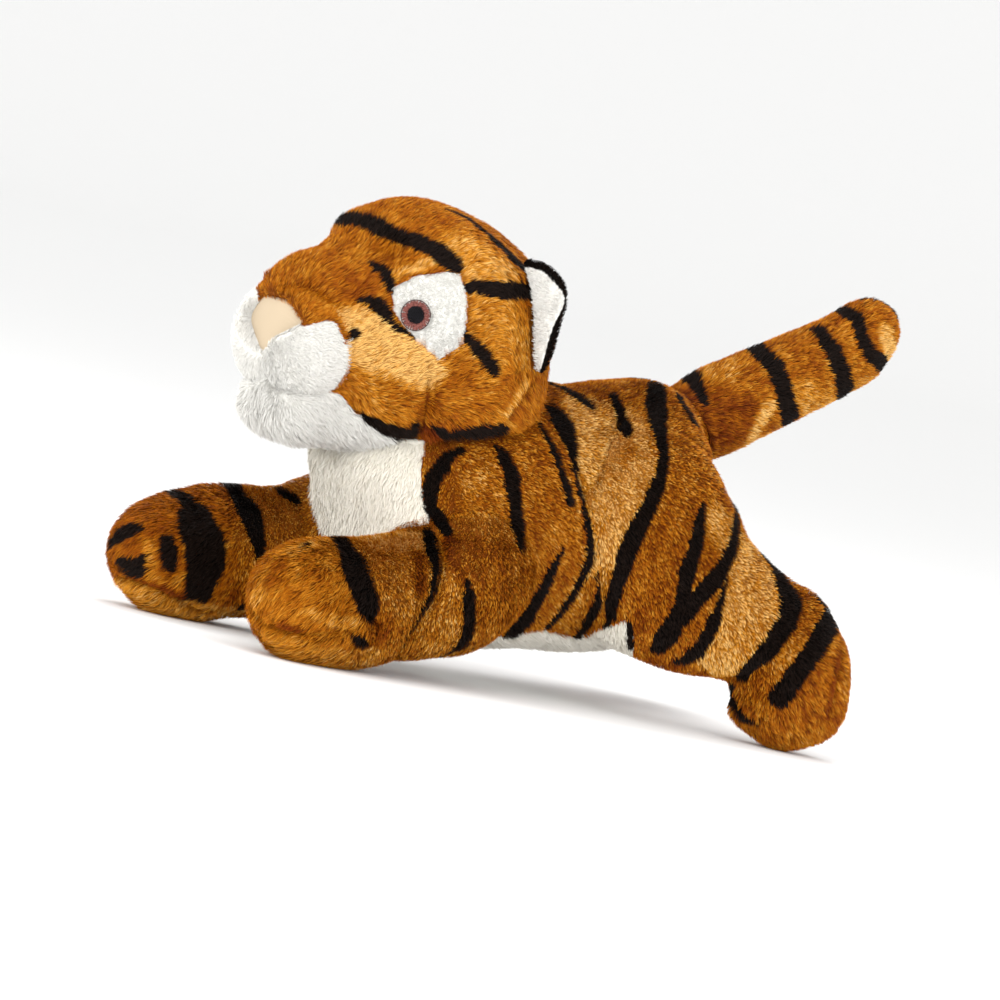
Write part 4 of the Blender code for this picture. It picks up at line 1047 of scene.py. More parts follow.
def beyond(points, places, halves, reach):
    """How far points lie outside a stroke with these half widths, or infinity beyond a reach."""
    low, high = places.min(axis=0) - reach, places.max(axis=0) + reach
    near = ((points > low) & (points < high)).all(axis=1).nonzero()[0]
    best = np.full(len(near), np.inf)
    for index in range(len(places) - 1):
        start, run = places[index], places[index + 1] - places[index]
        share = np.clip(((points[near] - start) @ run) / max(run @ run, 1e-12), 0, 1)
        away = np.linalg.norm(points[near] - start - share[:, None] * run, axis=1)
        best = np.minimum(best, away - halves[index] - (halves[index + 1] - halves[index]) * share)
    gap = np.full(len(points), np.inf)
    gap[near] = best
    return gap


def painted(points, dyes, laid, fade, seed):
    """Dyes with strokes painted over them: a point within a stroke's half width takes its dye. The
    edge wavers by a small noise and is broken hair by hair over the width of `fade`."""
    rng = np.random.default_rng(seed)
    dyes = dyes.copy()
    waver = waves(points, 5 * MM, seed + 1) * 0.45 * MM + rng.normal(size=len(points)) * fade
    for dye, places, halves in laid:
        gap = beyond(points, places, halves, 0.02)
        dyes[gap + waver < 0] = dye
    return dyes


def toned(points, laid, seed, base=0.47, blotch=1.0):
    """Golden tones: each stroke pulls its surroundings towards its tone, less so farther out and
    over a shorter way for a thin stroke. A smooth noise varies them, as strongly as `blotch`."""
    tones = np.full(len(points), base)
    for tone, places, halves in laid:
        gap = np.clip(beyond(points, places, halves, 0.03), 0, 1)
        fall = np.clip(halves.mean() * 0.7, 1.2 * MM, 5 * MM)
        pull = np.exp(-((gap / fall) ** 2))
        tones += (tone - tones) * pull
    return tones + blotch * (0.10 * waves(points, 16 * MM, seed) + 0.07 * waves(points, 5 * MM, seed + 1))


def creased(grid, outward, creases):
    """A skin drawn in along creases, by a bell curve across each."""
    flat, ways = grid.reshape(-1, 3), outward.reshape(-1, 3)
    for depth, width, places in creases:
        gap = beyond(flat, places, np.zeros(len(places)), 0.02)
        sink = depth * MM * np.exp(-((np.clip(gap, 0, 1) / (width * MM)) ** 2))
        flat = flat - ways * sink[:, None]
    return flat.reshape(grid.shape)


def swollen(grid, outward, others):
    """A skin swollen where it nears other forms, so that the two run into each other smoothly. The
    swelling falls off with the square of the way to the other form, to nothing at its reach. The
    undersides don't swell, so that they keep their folds."""
    flat, ways = grid.reshape(-1, 3), outward.reshape(-1, 3)
    swell = np.zeros(len(flat))
    for form, reach in others:
        swell += np.maximum(reach - np.abs(form.away(flat)), 0) ** 2 / (4 * reach)
    swell *= smooth_step(-0.8, -0.1, ways[:, 2])
    return (flat + ways * swell[:, None]).reshape(grid.shape)


def in_outline(places, outline):
    """Whether flat places lie inside an outline, by counting the sides that a line crosses."""
    x, y = places[:, 0], places[:, 1]
    inside = np.zeros(len(places), bool)
    for index in range(len(outline)):
        x0, y0 = outline[index - 1]
        x1, y1 = outline[index]
        cross = (y0 > y) != (y1 > y)
        at = x0 + (y - y0) * (x1 - x0) / (y1 - y0 if y1 != y0 else 1e-9)
        inside ^= cross & (x < at)
    return inside


# ------------------------------------------------------------------ pile

HAIR_WIDTH = 0.36 * MM
HAIR_LIMIT = 64000


def scatter(grid, outward, density, seed, least=None):
    """Roots spread evenly over a skin: cells are drawn by their area, and a place in each by chance.
    Gives each root's place and the outward way there."""
    rng = np.random.default_rng(seed)
    across = np.roll(grid[:-1], -1, axis=1) - grid[:-1]
    down = grid[1:] - grid[:-1]
    area = np.linalg.norm(np.cross(across, down), axis=-1)
    if least is not None:
        area = np.where(least[:-1] & least[1:], area, 0)
    total = area.sum()
    count = int(total * density * 1e6)
    chance = np.cumsum(area.ravel()) / total
    cell = np.clip(np.searchsorted(chance, rng.random(count)), 0, area.size - 1)
    ring, step = np.unravel_index(cell, area.shape)
    after = (step + 1) % grid.shape[1]
    s, t = rng.random((2, count, 1))

    def between(values):
        low = values[ring, step] * (1 - s) + values[ring, after] * s
        high = values[ring + 1, step] * (1 - s) + values[ring + 1, after] * s
        return low * (1 - t) + high * t

    return between(grid), unit(between(outward))


def tufts(points, size, seed):
    """A tuft number for each point: a lattice of cells of about this size, bent by a noise."""
    shift = np.stack([waves(points, size * 2.2, seed + k) for k in range(3)], axis=1) * size * 0.55
    cells = np.floor((points + shift) / size).astype(np.int64)
    cells -= cells.min(axis=0)
    wide = cells.max(axis=0) + 1
    number = (cells[:, 0] * wide[1] + cells[:, 1]) * wide[2] + cells[:, 2]
    return np.unique(number, return_inverse=True)[1]


def mean_by(group, values):
    """Each point's mean over its group."""
    count = np.bincount(group)
    means = np.stack([np.bincount(group, values[:, k]) / count for k in range(values.shape[1])], axis=1)
    return means[group]


def hairs(roots, outward, combed, length, lift, seed, width, tuft, gather, contrast):
    """Hairs as narrow curved blades. Each has a root edge, a middle edge and a tip. It rises from
    the skin at an angle that lessens towards its tip, wavers a little and leans towards the middle
    of its tuft. Gives the five corners of every hair, and a shade from 0 to 1 for each."""
    rng = np.random.default_rng(seed)
    count = len(roots)
    flat = unit(combed - outward * (combed * outward).sum(axis=1, keepdims=True))
    side = np.cross(outward, flat)
    sway = np.stack([waves(roots, 9 * MM, seed + k) for k in (1, 2)], axis=1)
    turn = (0.30 * sway[:, 0] + rng.normal(size=count) * 0.20)[:, None]
    flat = unit(flat + side * turn)
    side = np.cross(outward, flat)
    rise = np.clip(lift * (1 + 0.20 * sway[:, 1]) + rng.normal(size=count) * 0.12, 0.12, 1.5)[:, None]
    long = (length * rng.uniform(0.72, 1.10, count))[:, None]
    middle = roots + (flat * np.cos(rise) + outward * np.sin(rise)) * long * 0.5
    fall = np.maximum(rise * 0.62, 0.1)
    tip = middle + (flat * np.cos(fall) + outward * np.sin(fall)) * long * 0.5
    tip += rng.normal(size=(count, 3)) * long * 0.05
    group = tufts(roots, tuft, seed + 11)
    gather = np.broadcast_to(gather, count)[:, None]
    tip += (mean_by(group, tip) - tip) * gather
    middle += (mean_by(group, middle) - middle) * gather * 0.35
    tone = np.random.default_rng(seed + 3).normal(size=group.max() + 1)[group]
    roll = rng.normal(size=count)[:, None] * 0.6
    edge = unit(side * np.cos(roll) + outward * np.sin(roll)) * width / 2
    base = roots - outward * 0.6 * MM
    corners = np.stack(
        [base - edge, base + edge, middle + edge * 0.85, middle - edge * 0.85, tip], axis=1
    )
    shade = np.clip(0.5 + contrast * tone + 0.16 * rng.normal(size=count), 0, 1)
    return corners, shade


def pile_objects(name, corners, card, look, body):
    """Hairs made into one or more pieces, none with more hairs than the limit. Each hair is one
    four-cornered and one three-cornered face."""
    parts = max(1, math.ceil(len(corners) / HAIR_LIMIT))
    order = np.argsort(corners[:, 0, 0], kind="stable")
    for part, chosen in enumerate(np.array_split(order, parts)):
        places = corners[chosen].reshape(-1, 3)
        base = np.arange(len(chosen))[:, None] * 5
        loops = (base + np.array([0, 1, 2, 3, 3, 2, 4])).ravel()
        sizes = np.tile([4, 3], len(chosen))
        piece = mesh_object(f"{name}_{part + 1}" if parts > 1 else name, places, loops, sizes)
        across = np.repeat(card[chosen], 7)
        rise = np.tile([0.0, 0.0, 0.5, 0.5, 0.5, 0.5, 1.0], len(chosen))
        layer = piece.data.uv_layers.new(name="OFBake")
        layer.data.foreach_set("uv", np.column_stack([across, rise]).astype(np.float32).ravel())
        piece.data.materials.append(look)
        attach(piece, body)


# ------------------------------------------------------------------ the forms in place

BODY = body_form()
HEAD = head_form()
FRONT_LEFT, FRONT_RIGHT = front_leg_form(-1), front_leg_form(1)
HIND_LEFT, HIND_RIGHT = hind_leg_form(-1), hind_leg_form(1, RIGHT_LIFT)
TAIL = tail_form()
NECK_PLACE = NECK - MIDDLE_X * X_AXIS
FRONT_REACH, HIND_REACH, TAIL_REACH = 18 * MM, 20 * MM, 10 * MM
LEVEL_BACK = unit(CAMERA_BACK * np.array([1.0, 1.0, 0.0]))


def body_holds(points, margin=0.0):
    """Whether the body or its round neck seat holds points."""
    seat = np.linalg.norm(points - NECK_PLACE, axis=1) < NECK_SEAT_RADIUS + margin
    return BODY.holds(points, margin) | seat


def floor_flat(grid, height=0.4 * MM):
    """A skin pressed flat where it would pass through the floor."""
    grid = grid.copy()
    grid[..., 2] = np.maximum(grid[..., 2], height)
    return grid


def folded(points):
    """Points of the right side brought onto the left side, so that both take the same pattern."""
    points = points.copy()
    points[:, 1] = -np.abs(points[:, 1])
    return points


def faced(points, ways, form):
    """Points on a form's hidden side brought to its seen side, through the upright plane along its
    middle that faces the camera. Hidden points are those whose outward ways turn from the camera."""
    place = (points - form.origin) @ form.along
    aside, rise = (np.interp(place, form.table[:, 0], form.table[:, k]) for k in (1, 2))
    middle = form.origin + form.along * place[:, None] + form.across * aside[:, None]
    middle = middle + form.up * rise[:, None]
    depth = np.minimum((points - middle) @ LEVEL_BACK, 0)
    depth[ways @ CAMERA_BACK > 0] = 0
    return points - LEVEL_BACK * (2 * depth)[:, None]


def hind_as_left(points, side):
    """Points of a hind leg brought onto the left one: the right one's are mirrored, then turned
    back down about the hip."""
    if side < 0:
        return points
    cosine, sine = math.cos(RIGHT_LIFT), math.sin(RIGHT_LIFT)
    hip = HIND_LEFT.origin
    x, y, z = (points * np.array([1, -1, 1]) - hip).T
    return np.column_stack([x * cosine + z * sine, y, z * cosine - x * sine]) + hip


def bumped(bumps, fold=None, form=None):
    """A way to bend a skin: it's raised or sunk by a bell curve round each bump's place. Skins of
    the other side are brought to this side first by `fold`. The places are found on `form`."""
    def bent(grid, outward):
        plain = grid if form is None else form.skin(120, 120)[0]
        tree, centre = search_tree(plain), plain.mean(axis=(0, 1))
        flat, ways = grid.reshape(-1, 3), outward.reshape(-1, 3)
        near = flat if fold is None else fold(flat)
        moved = np.zeros(len(flat))
        for x, y, far, reach in bumps:
            place = laid_on(tree, centre, x, y)[None]
            place = place if fold is not folded else folded(place)
            gap = np.linalg.norm(near - place, axis=1)
            moved += far * MM * np.exp(-((gap / (reach * MM)) ** 2))
        return (flat + ways * moved[:, None]).reshape(grid.shape)

    return bent


def head_local(points):
    """Points from the head's centre: forwards, sideways and up."""
    local = points - head_place(0, 0, 0)
    return local @ HEAD_FRONT, local[:, 1], local @ HEAD_TOP


def joined_skin(form, rings, points, others, bent=None, holds=None, way=None):
    """A form's skin, bent and swollen towards its neighbours, and moved out of what holds it. Gives
    its grid, the outward ways and how far each place was moved."""
    grid, outward = form.skin(rings, points)
    if bent is not None:
        grid = bent(grid, outward)
    grid = swollen(grid, outward, others)
    gone = np.zeros(grid.shape[:2])
    if holds is not None:
        flat, gone = moved_out(grid.reshape(-1, 3), way, holds)
        grid, gone = flat.reshape(grid.shape), gone.reshape(grid.shape[:2])
    return floor_flat(grid), outward, gone


def build_piece(name, form, skin, creases, body, replaces, dye_of, comb, coat, seed, density=3.2,
                width=HAIR_WIDTH, tuft=1.5 * MM, contrast=0.15, cull=None, trim=None):
    """One soft piece: its padded skin and its pile. `dye_of` gives the dye and tone of places, `comb`
    the way that hairs lie, and `coat` their length, how steeply they rise and how far they gather
    into tufts. No hair is rooted where the skin was moved far or `cull` is true. Hairs whose roots
    and tips `trim` picks are cut short. A hair takes the dye of the cloth under its upper half."""
    grid, outward, gone = skin
    grid = creased(grid, outward, creases)
    outward = normals_of(grid, form.along)
    bare, ways = grid.reshape(-1, 3), outward.reshape(-1, 3)
    made = skin_object(name + "_skin", grid, skin_colours(*dye_of(bare, ways), bare), CLOTH)
    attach(made, body)
    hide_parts(*replaces)
    roots, out = scatter(grid, outward, density * DENSITY, seed, gone < 2.6 * MM)
    keep = roots[:, 2] > 0.6 * MM
    if cull is not None:
        keep &= ~cull(roots)
    roots, out = roots[keep], out[keep]
    dyes, _ = dye_of(roots, out)
    length, lift, gather = coat(roots, dyes)
    vary = np.where(dyes == GOLDEN, contrast(roots) if callable(contrast) else contrast, 0.08)
    corners, shade = hairs(
        roots, out, comb(roots, out), length, lift, seed, width, tuft, gather, vary
    )
    if trim is not None:
        short = trim(roots, corners[:, 4], dyes)
        corners[short, 2:] = roots[short, None] + (corners[short, 2:] - roots[short, None]) * 0.35
    shift = corners[:, 2:].mean(axis=1) - roots
    shift -= out * (shift * out).sum(axis=1, keepdims=True)
    dyes, tones = dye_of(roots + shift, out)
    corners[..., 2] = np.maximum(corners[..., 2], 0.15 * MM)
    pile_objects(name + "_pile", corners, dye_place(dyes, tones, shade), PILE, body)


DENSITY = 1.0
CLOTH = cloth_look("ground_cloth")
PILE = pile_look("plush_pile")


def body_bent(grid, outward):
    """The body's skin with a fuller breast and a slimmer rump."""
    grid = bumped(BODY_BUMPS, folded)(grid, outward)
    flat, ways = grid.reshape(-1, 3), outward.reshape(-1, 3)
    breast = np.exp(-(((flat[:, 2] - 0.106) / 0.026) ** 2)) * 8.5
    breast += np.exp(-(((flat[:, 2] - 0.086) / 0.016) ** 2)) * 5.5
    breast *= np.clip(-ways[:, 0], 0, 1)
    rump = np.exp(-(((flat[:, 2] - 0.100) / 0.030) ** 2)) * np.clip(ways[:, 0], 0, 1) * 4.0
    return (flat - X_AXIS * ((breast + rump) * MM)[:, None]).reshape(grid.shape)


def near_body(points):
    """Whether the body holds points, with a little to spare."""
    return BODY.holds(points, 0.5 * MM)


def near_seat(points):
    """Whether the body or its neck seat holds points, with a little to spare."""
    return body_holds(points, 0.5 * MM)


TORSO_SKIN = joined_skin(BODY, 220, 260, (
    (FRONT_LEFT, FRONT_REACH), (FRONT_RIGHT, FRONT_REACH),
    (HIND_LEFT, HIND_REACH), (HIND_RIGHT, HIND_REACH), (TAIL, TAIL_REACH),
), body_bent)
FRONT_SKINS = [
    joined_skin(form, 170, 170, ((BODY, FRONT_REACH),), bumped(bumps), near_body, Y_AXIS * side)
    for form, side, bumps in ((FRONT_LEFT, -1, FRONT_LEFT_BUMPS), (FRONT_RIGHT, 1, FRONT_RIGHT_BUMPS))
]
HIND_SKINS = [
    joined_skin(form, 190, 190, ((BODY, HIND_REACH),), bent, near_body, Y_AXIS * side)
    for form, side, bent in (
        (HIND_LEFT, -1, bumped(HIND_BUMPS)),
        (HIND_RIGHT, 1, bumped(HIND_BUMPS, lambda p: hind_as_left(p, 1), HIND_LEFT)),
    )
]
SIDE_TREE = search_tree(TORSO_SKIN[0], FRONT_SKINS[0][0], HIND_SKINS[0][0])
SIDE_CENTRE = np.array([-MIDDLE_X, -0.04, BODY_MIDDLE])
SIDE_STRIPES = laid_strokes(SIDE_TREE, SIDE_CENTRE, BODY_STROKES + HIND_STROKES + FRONT_LEFT_STROKES)
SIDE_TONES = laid_strokes(SIDE_TREE, SIDE_CENTRE, BODY_TONES + HIND_TONES + FRONT_LEFT_TONES)
SIDE_CREASES = laid_lines(SIDE_TREE, SIDE_CENTRE, BODY_CREASES + HIND_CREASES + FRONT_LEFT_CREASES)


# ------------------------------------------------------------------ body


def belly_panel(points):
    """Whether points lie in the pale strip along the belly, which runs out to a tip at the rump."""
    x, y, z = points[:, 0] + MIDDLE_X, np.abs(points[:, 1]), points[:, 2]
    width = 0.028 * np.clip((0.092 - x) / 0.034, 0, 1)
    under = (x > -0.058) & (y < width) & (z < 0.050)
    return under | (in_outline(seen(folded(points)), BELLY_AREA) & (z < 0.055))


def make_body():
    """The torso, golden with stripes, with a sandy waist, a cream chest and a white belly."""
    def dye_of(points, ways):
        near = folded(points)
        dyes = painted(near, np.full(len(points), GOLDEN), SIDE_STRIPES, 0.25 * MM, 22)
        chest = in_outline(seen(near), CHEST_AREA) & (points[:, 0] + MIDDLE_X < -0.030)
        belly = belly_panel(points)
        dyes[(chest | belly) & (dyes != BLACK)] = CREAM
        pale = np.where(belly, 0.9, 0.55)
        return dyes, np.where(dyes == CREAM, pale, toned(near, SIDE_TONES, 23))

    def comb(points, outward):
        ways = np.column_stack([
            np.full(len(points), 0.75), 0.3 * np.sign(points[:, 1]), np.full(len(points), -0.65),
        ])
        front = points[:, 0] + MIDDLE_X < -0.06
        ways[front] = (-0.1, 0, -1)
        return ways

    def coat(points, dyes):
        pale = dyes == CREAM
        lift = np.where(points[:, 0] + MIDDLE_X < -0.05, 0.42, 0.85)
        return np.where(pale, 5.0, 3.0) * MM, np.where(pale, lift, 1.10), np.where(pale, 0.15, 0.5)

    def cull(points):
        hidden = HEAD.holds(points, -5.0 * MM)
        for limb in (FRONT_LEFT, FRONT_RIGHT, HIND_LEFT, HIND_RIGHT, TAIL):
            hidden |= limb.holds(points, -5.0 * MM)
        return hidden

    build_piece(
        "torso", BODY, TORSO_SKIN, mirrored(SIDE_CREASES), "torso",
        ("torso_cover", "belly_panel", "torso_filling"), dye_of, comb, coat, 101,
        density=3.6, tuft=1.2 * MM, contrast=0.28, cull=cull,
    )


# ------------------------------------------------------------------ head


def eye_patch_place(points, side, outset=0.0):
    """Points in the plane of an eye's patch: backwards and up, as shares of the patch's height."""
    _, back, up = eye_ways(side)
    centre = head_place(EYE[0], EYE[1], EYE[2]) * np.array([1, -side, 1])
    local = points - centre
    return np.column_stack([local @ back, local @ up]) / (EYE_PATCH_HEIGHT + outset)


CHIN_SHARES = (
    (0.78, 0.02), (0.59, 0.02), (0.565, -0.21), (0.48, -0.24), (0.43, -0.33), (0.30, -0.41), (0.23, -0.53),
    (0.14, -0.74), (0.14, -1.30), (0.78, -1.30),
)


def make_head():
    """The head, golden with stripes, with a white chin and white patches round the eyes."""
    skin = joined_skin(
        HEAD, 200, 230, ((MUZZLES[0], 12 * MM), (MUZZLES[1], 12 * MM)),
        bumped(HEAD_BUMPS, folded), near_seat, NECK_AXIS,
    )
    skin = (pressed(skin[0]), *skin[1:])
    tree, centre = search_tree(skin[0]), head_place(0, 0, 0)
    stripes = laid_strokes(tree, centre, HEAD_STROKES)
    tones = laid_strokes(tree, centre, HEAD_TONES)
    creases = mirrored(laid_lines(tree, centre, HEAD_CREASES))
    chin = [(HEAD_LENGTH * a, HEAD_HEIGHT * b) for a, b in CHIN_SHARES]

    def in_patch(points, outset=0.0):
        near = folded(points)
        forward = head_local(points)[0]
        return in_outline(eye_patch_place(near, -1, outset), EYE_PATCH_SHARES) & (forward > 0)

    def in_chin(points):
        forward, _, rise = head_local(points)
        return in_outline(np.column_stack([forward, rise]), chin)

    def dye_of(points, ways):
        near = folded(points)
        dyes = painted(near, np.full(len(points), GOLDEN), stripes, 0.3 * MM, 32)
        patch = in_patch(points)
        dyes[(in_chin(points) & (dyes != BLACK)) | patch] = WHITE
        # painted shade: the eye patches take a darker white than the chin, against the strong lamp light that falls on
        # them
        pale = np.where(patch, 0.2, 0.5)
        return dyes, np.where(dyes == WHITE, pale, toned(near, tones, 33))

    def comb(points, outward):
        forward, sideways, rise = head_local(points)
        back = -HEAD_FRONT + 0.35 * HEAD_TOP
        down = np.array([0.25, 0.0, -1.0])
        share = smooth_step(0.012, -0.018, forward)[:, None]
        low = smooth_step(-0.018, -0.045, rise - 0.02 * smooth_step(0.050, 0.065, forward))[:, None]
        way = back * (1 - share) + down * share
        way = way * (1 - low) + np.array([0.9, 0.0, -0.5]) * low
        return way + Y_AXIS * (np.sign(sideways) * 0.12)[:, None]

    def coat(points, dyes):
        rise = head_local(points)[2]
        patch = (dyes == WHITE) & (rise > -0.012)
        long = 4.6 + 1.6 * smooth_step(-0.015, -0.045, rise)
        lift = np.where(patch, 1.1, np.where(dyes == WHITE, 0.5, 0.42))
        return np.where(patch, 1.3, long) * MM, lift, np.where(dyes == WHITE, 0.2, 0.4)

    def cull(points):
        hidden = body_holds(points, -2.0 * MM) | under_nose(points)
        return hidden | MUZZLES[0].holds(points, -2 * MM) | MUZZLES[1].holds(points, -2 * MM)

    def trim(roots, tips, dyes):
        over_patch = in_patch(tips, -0.4 * MM) & (dyes != WHITE)
        over_chin = in_chin(tips) & (dyes != WHITE) & (head_local(roots)[2] > -0.035)
        over_ear = in_outline(seen(folded(tips)), EAR_AREA) & (dyes != BLACK)
        return over_patch | over_chin | over_ear

    build_piece(
        "head", HEAD, skin, creases, "head",
        ("head_cover", "chin_panel", "head_filling", "eye_patch_left", "eye_patch_right"),
        dye_of, comb, coat, 201, density=3.8, width=0.32 * MM, tuft=1.5 * MM, contrast=0.17,
        cull=cull, trim=trim,
    )
    return skin[0]


def muzzle_form(side):
    """A lobe of the muzzle."""
    forward, sideways, rise = MUZZLE
    centre = head_place(forward, -side * sideways, rise)
    return ball_form(centre, HEAD_FRONT, Y_AXIS, HEAD_TOP, MUZZLE_SIZE)


MUZZLES = (muzzle_form(-1), muzzle_form(1))
NOSE_CENTRE = head_place(*NOSE)
NOSE_UP = unit(HEAD_TOP - HEAD_FRONT * 0.27)
NOSE_AIM = np.cross(Y_AXIS, NOSE_UP)
NOSE_AIM = NOSE_AIM if NOSE_AIM @ HEAD_FRONT > 0 else -NOSE_AIM


def nose_flat(points):
    """Points in the nose's own plane: sideways and up, in millimetres."""
    local = points - NOSE_CENTRE
    return np.column_stack([local[:, 1], local @ NOSE_UP]) / MM


def under_nose(points):
    """Whether points lie under the nose pad."""
    near = (points - NOSE_CENTRE) @ NOSE_AIM > -16 * MM
    return near & in_outline(nose_flat(points), NOSE_OUTLINE)


def pressed(grid):
    """A skin pressed in round the nose pad: 1 mm behind its face under it, and beyond its rim no
    farther in front of that than 2.4 times the way to the rim. The face recedes with the square of
    the way sideways."""
    points = grid.reshape(-1, 3)
    flat = nose_flat(points)
    rim = np.array(NOSE_OUTLINE + NOSE_OUTLINE[:1], float)
    gap = beyond(flat, rim, np.zeros(len(rim)), 12.0)
    gap[in_outline(flat, NOSE_OUTLINE)] = 0
    ahead = (points - NOSE_CENTRE) @ NOSE_AIM / MM + NOSE_BEND * flat[:, 0] ** 2
    push = np.maximum(ahead - (2.4 * gap - 1.0), 0)
    return (points - NOSE_AIM * (push * MM)[:, None]).reshape(grid.shape)


def muzzle_skin(side):
    """A lobe's skin, run into its twin and the head, and pressed in round the nose."""
    own, other = MUZZLES if side < 0 else MUZZLES[::-1]
    grid, outward, gone = joined_skin(own, 90, 100, ((other, 8 * MM), (HEAD, 12 * MM)))
    return pressed(grid), outward, gone


def make_muzzle(side):
    """A white lobe beside the nose, with short pile and a golden upper end."""
    label = "left" if side < 0 else "right"
    form, other = MUZZLES if side < 0 else MUZZLES[::-1]

    def dye_of(points, ways):
        area = MUZZLE_GOLD_AREA if side < 0 else FAR_MUZZLE_GOLD_AREA
        gold = in_outline(seen(points), area)
        # painted light: the muzzle's white is lighter than the chin's, against the grey of shade between its short
        # hairs
        return np.where(gold, GOLDEN, WHITE), np.where(gold, 0.5, 0.75)

    def comb(points, outward):
        golden = dye_of(points, outward)[0] == GOLDEN
        white = -HEAD_FRONT + Y_AXIS * (side * 0.6) - HEAD_TOP * 0.5
        return np.where(golden[:, None], -HEAD_FRONT + 0.35 * HEAD_TOP, white)

    def coat(points, dyes):
        gold = dyes == GOLDEN
        return np.where(gold, 4.2, 2.8) * MM, np.where(gold, 0.42, 0.55), np.where(gold, 0.4, 0.1)

    def cull(points):
        return other.holds(points, -1.5 * MM) | HEAD.holds(points, -5 * MM) | under_nose(points)

    build_piece(
        f"muzzle_{label}", form, muzzle_skin(side), (), "head", (f"muzzle_{label}",),
        dye_of, comb, coat, 301 + side, density=6.0, width=0.3 * MM, tuft=1.2 * MM, cull=cull,
    )


def make_nose():
    """The nose: a pad of ribbed velour that recedes with the square of the way sideways, with a
    rounded rim and walls that reach into the pressed skins."""
    outline = np.array(NOSE_OUTLINE + NOSE_OUTLINE[:1], float)
    steps = np.arange(len(outline))
    rim = curve_through(steps, outline, np.linspace(0, len(outline) - 1, 97)[:-1]) * MM
    share = np.linspace(0, 1, 24)[:, None, None]
    flat = rim[None] * share
    recede = NOSE_BEND / MM * flat[..., 0] ** 2
    dome = 1.0 * MM * (1 - share[..., 0] ** 5)
    level = NOSE_CENTRE + Y_AXIS * flat[..., :1] + NOSE_UP * flat[..., 1:]
    front = level + NOSE_AIM * (dome - recede)[..., None]
    back = level - NOSE_AIM * (recede + 5 * MM)[..., None]
    grid = np.concatenate([back, front[::-1]])
    made = skin_object("nose_pad", grid, np.full((grid.shape[0] * 96, 3), 0.7), velour_look("peach_velour"))
    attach(made, "head")
    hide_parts("nose")


# ------------------------------------------------------------------ eyes


def tube_mesh(name, lines, radius, sides, look):
    """Threads: round tubes along lines of equal length, each an array of places. A ring of corners
    stands square to the line at each place."""
    lines = np.asarray(lines)
    count, length = lines.shape[:2]
    along = unit(np.gradient(lines, axis=1))
    helper = np.where(np.abs(along[..., 2:3]) < 0.9, Z_AXIS, X_AXIS)
    one = unit(np.cross(along, helper))
    two = np.cross(along, one)
    angle = math.tau * np.arange(sides) / sides
    taper = np.ones(length)
    taper[[0, -1]] = 0.35
    ring = (
        one[:, :, None] * np.cos(angle)[:, None] + two[:, :, None] * np.sin(angle)[:, None]
    ) * (radius * taper)[None, :, None, None]
    places = (lines[:, :, None] + ring).reshape(-1, 3)
    faces = grid_faces(length, sides)
    caps = np.stack([np.arange(sides), (length - 1) * sides + np.arange(sides)[::-1]])
    base = (np.arange(count) * length * sides)[:, None, None]
    loops = np.concatenate([(faces[None] + base).reshape(-1), (caps[None] + base).reshape(-1)])
    sizes = np.concatenate([np.full(count * len(faces), 4), np.full(count * 2, sides)])
    made = mesh_object(name, places, loops, sizes)
    made.data.materials.append(look)
    shape = made.data
    shape.update()
    return made


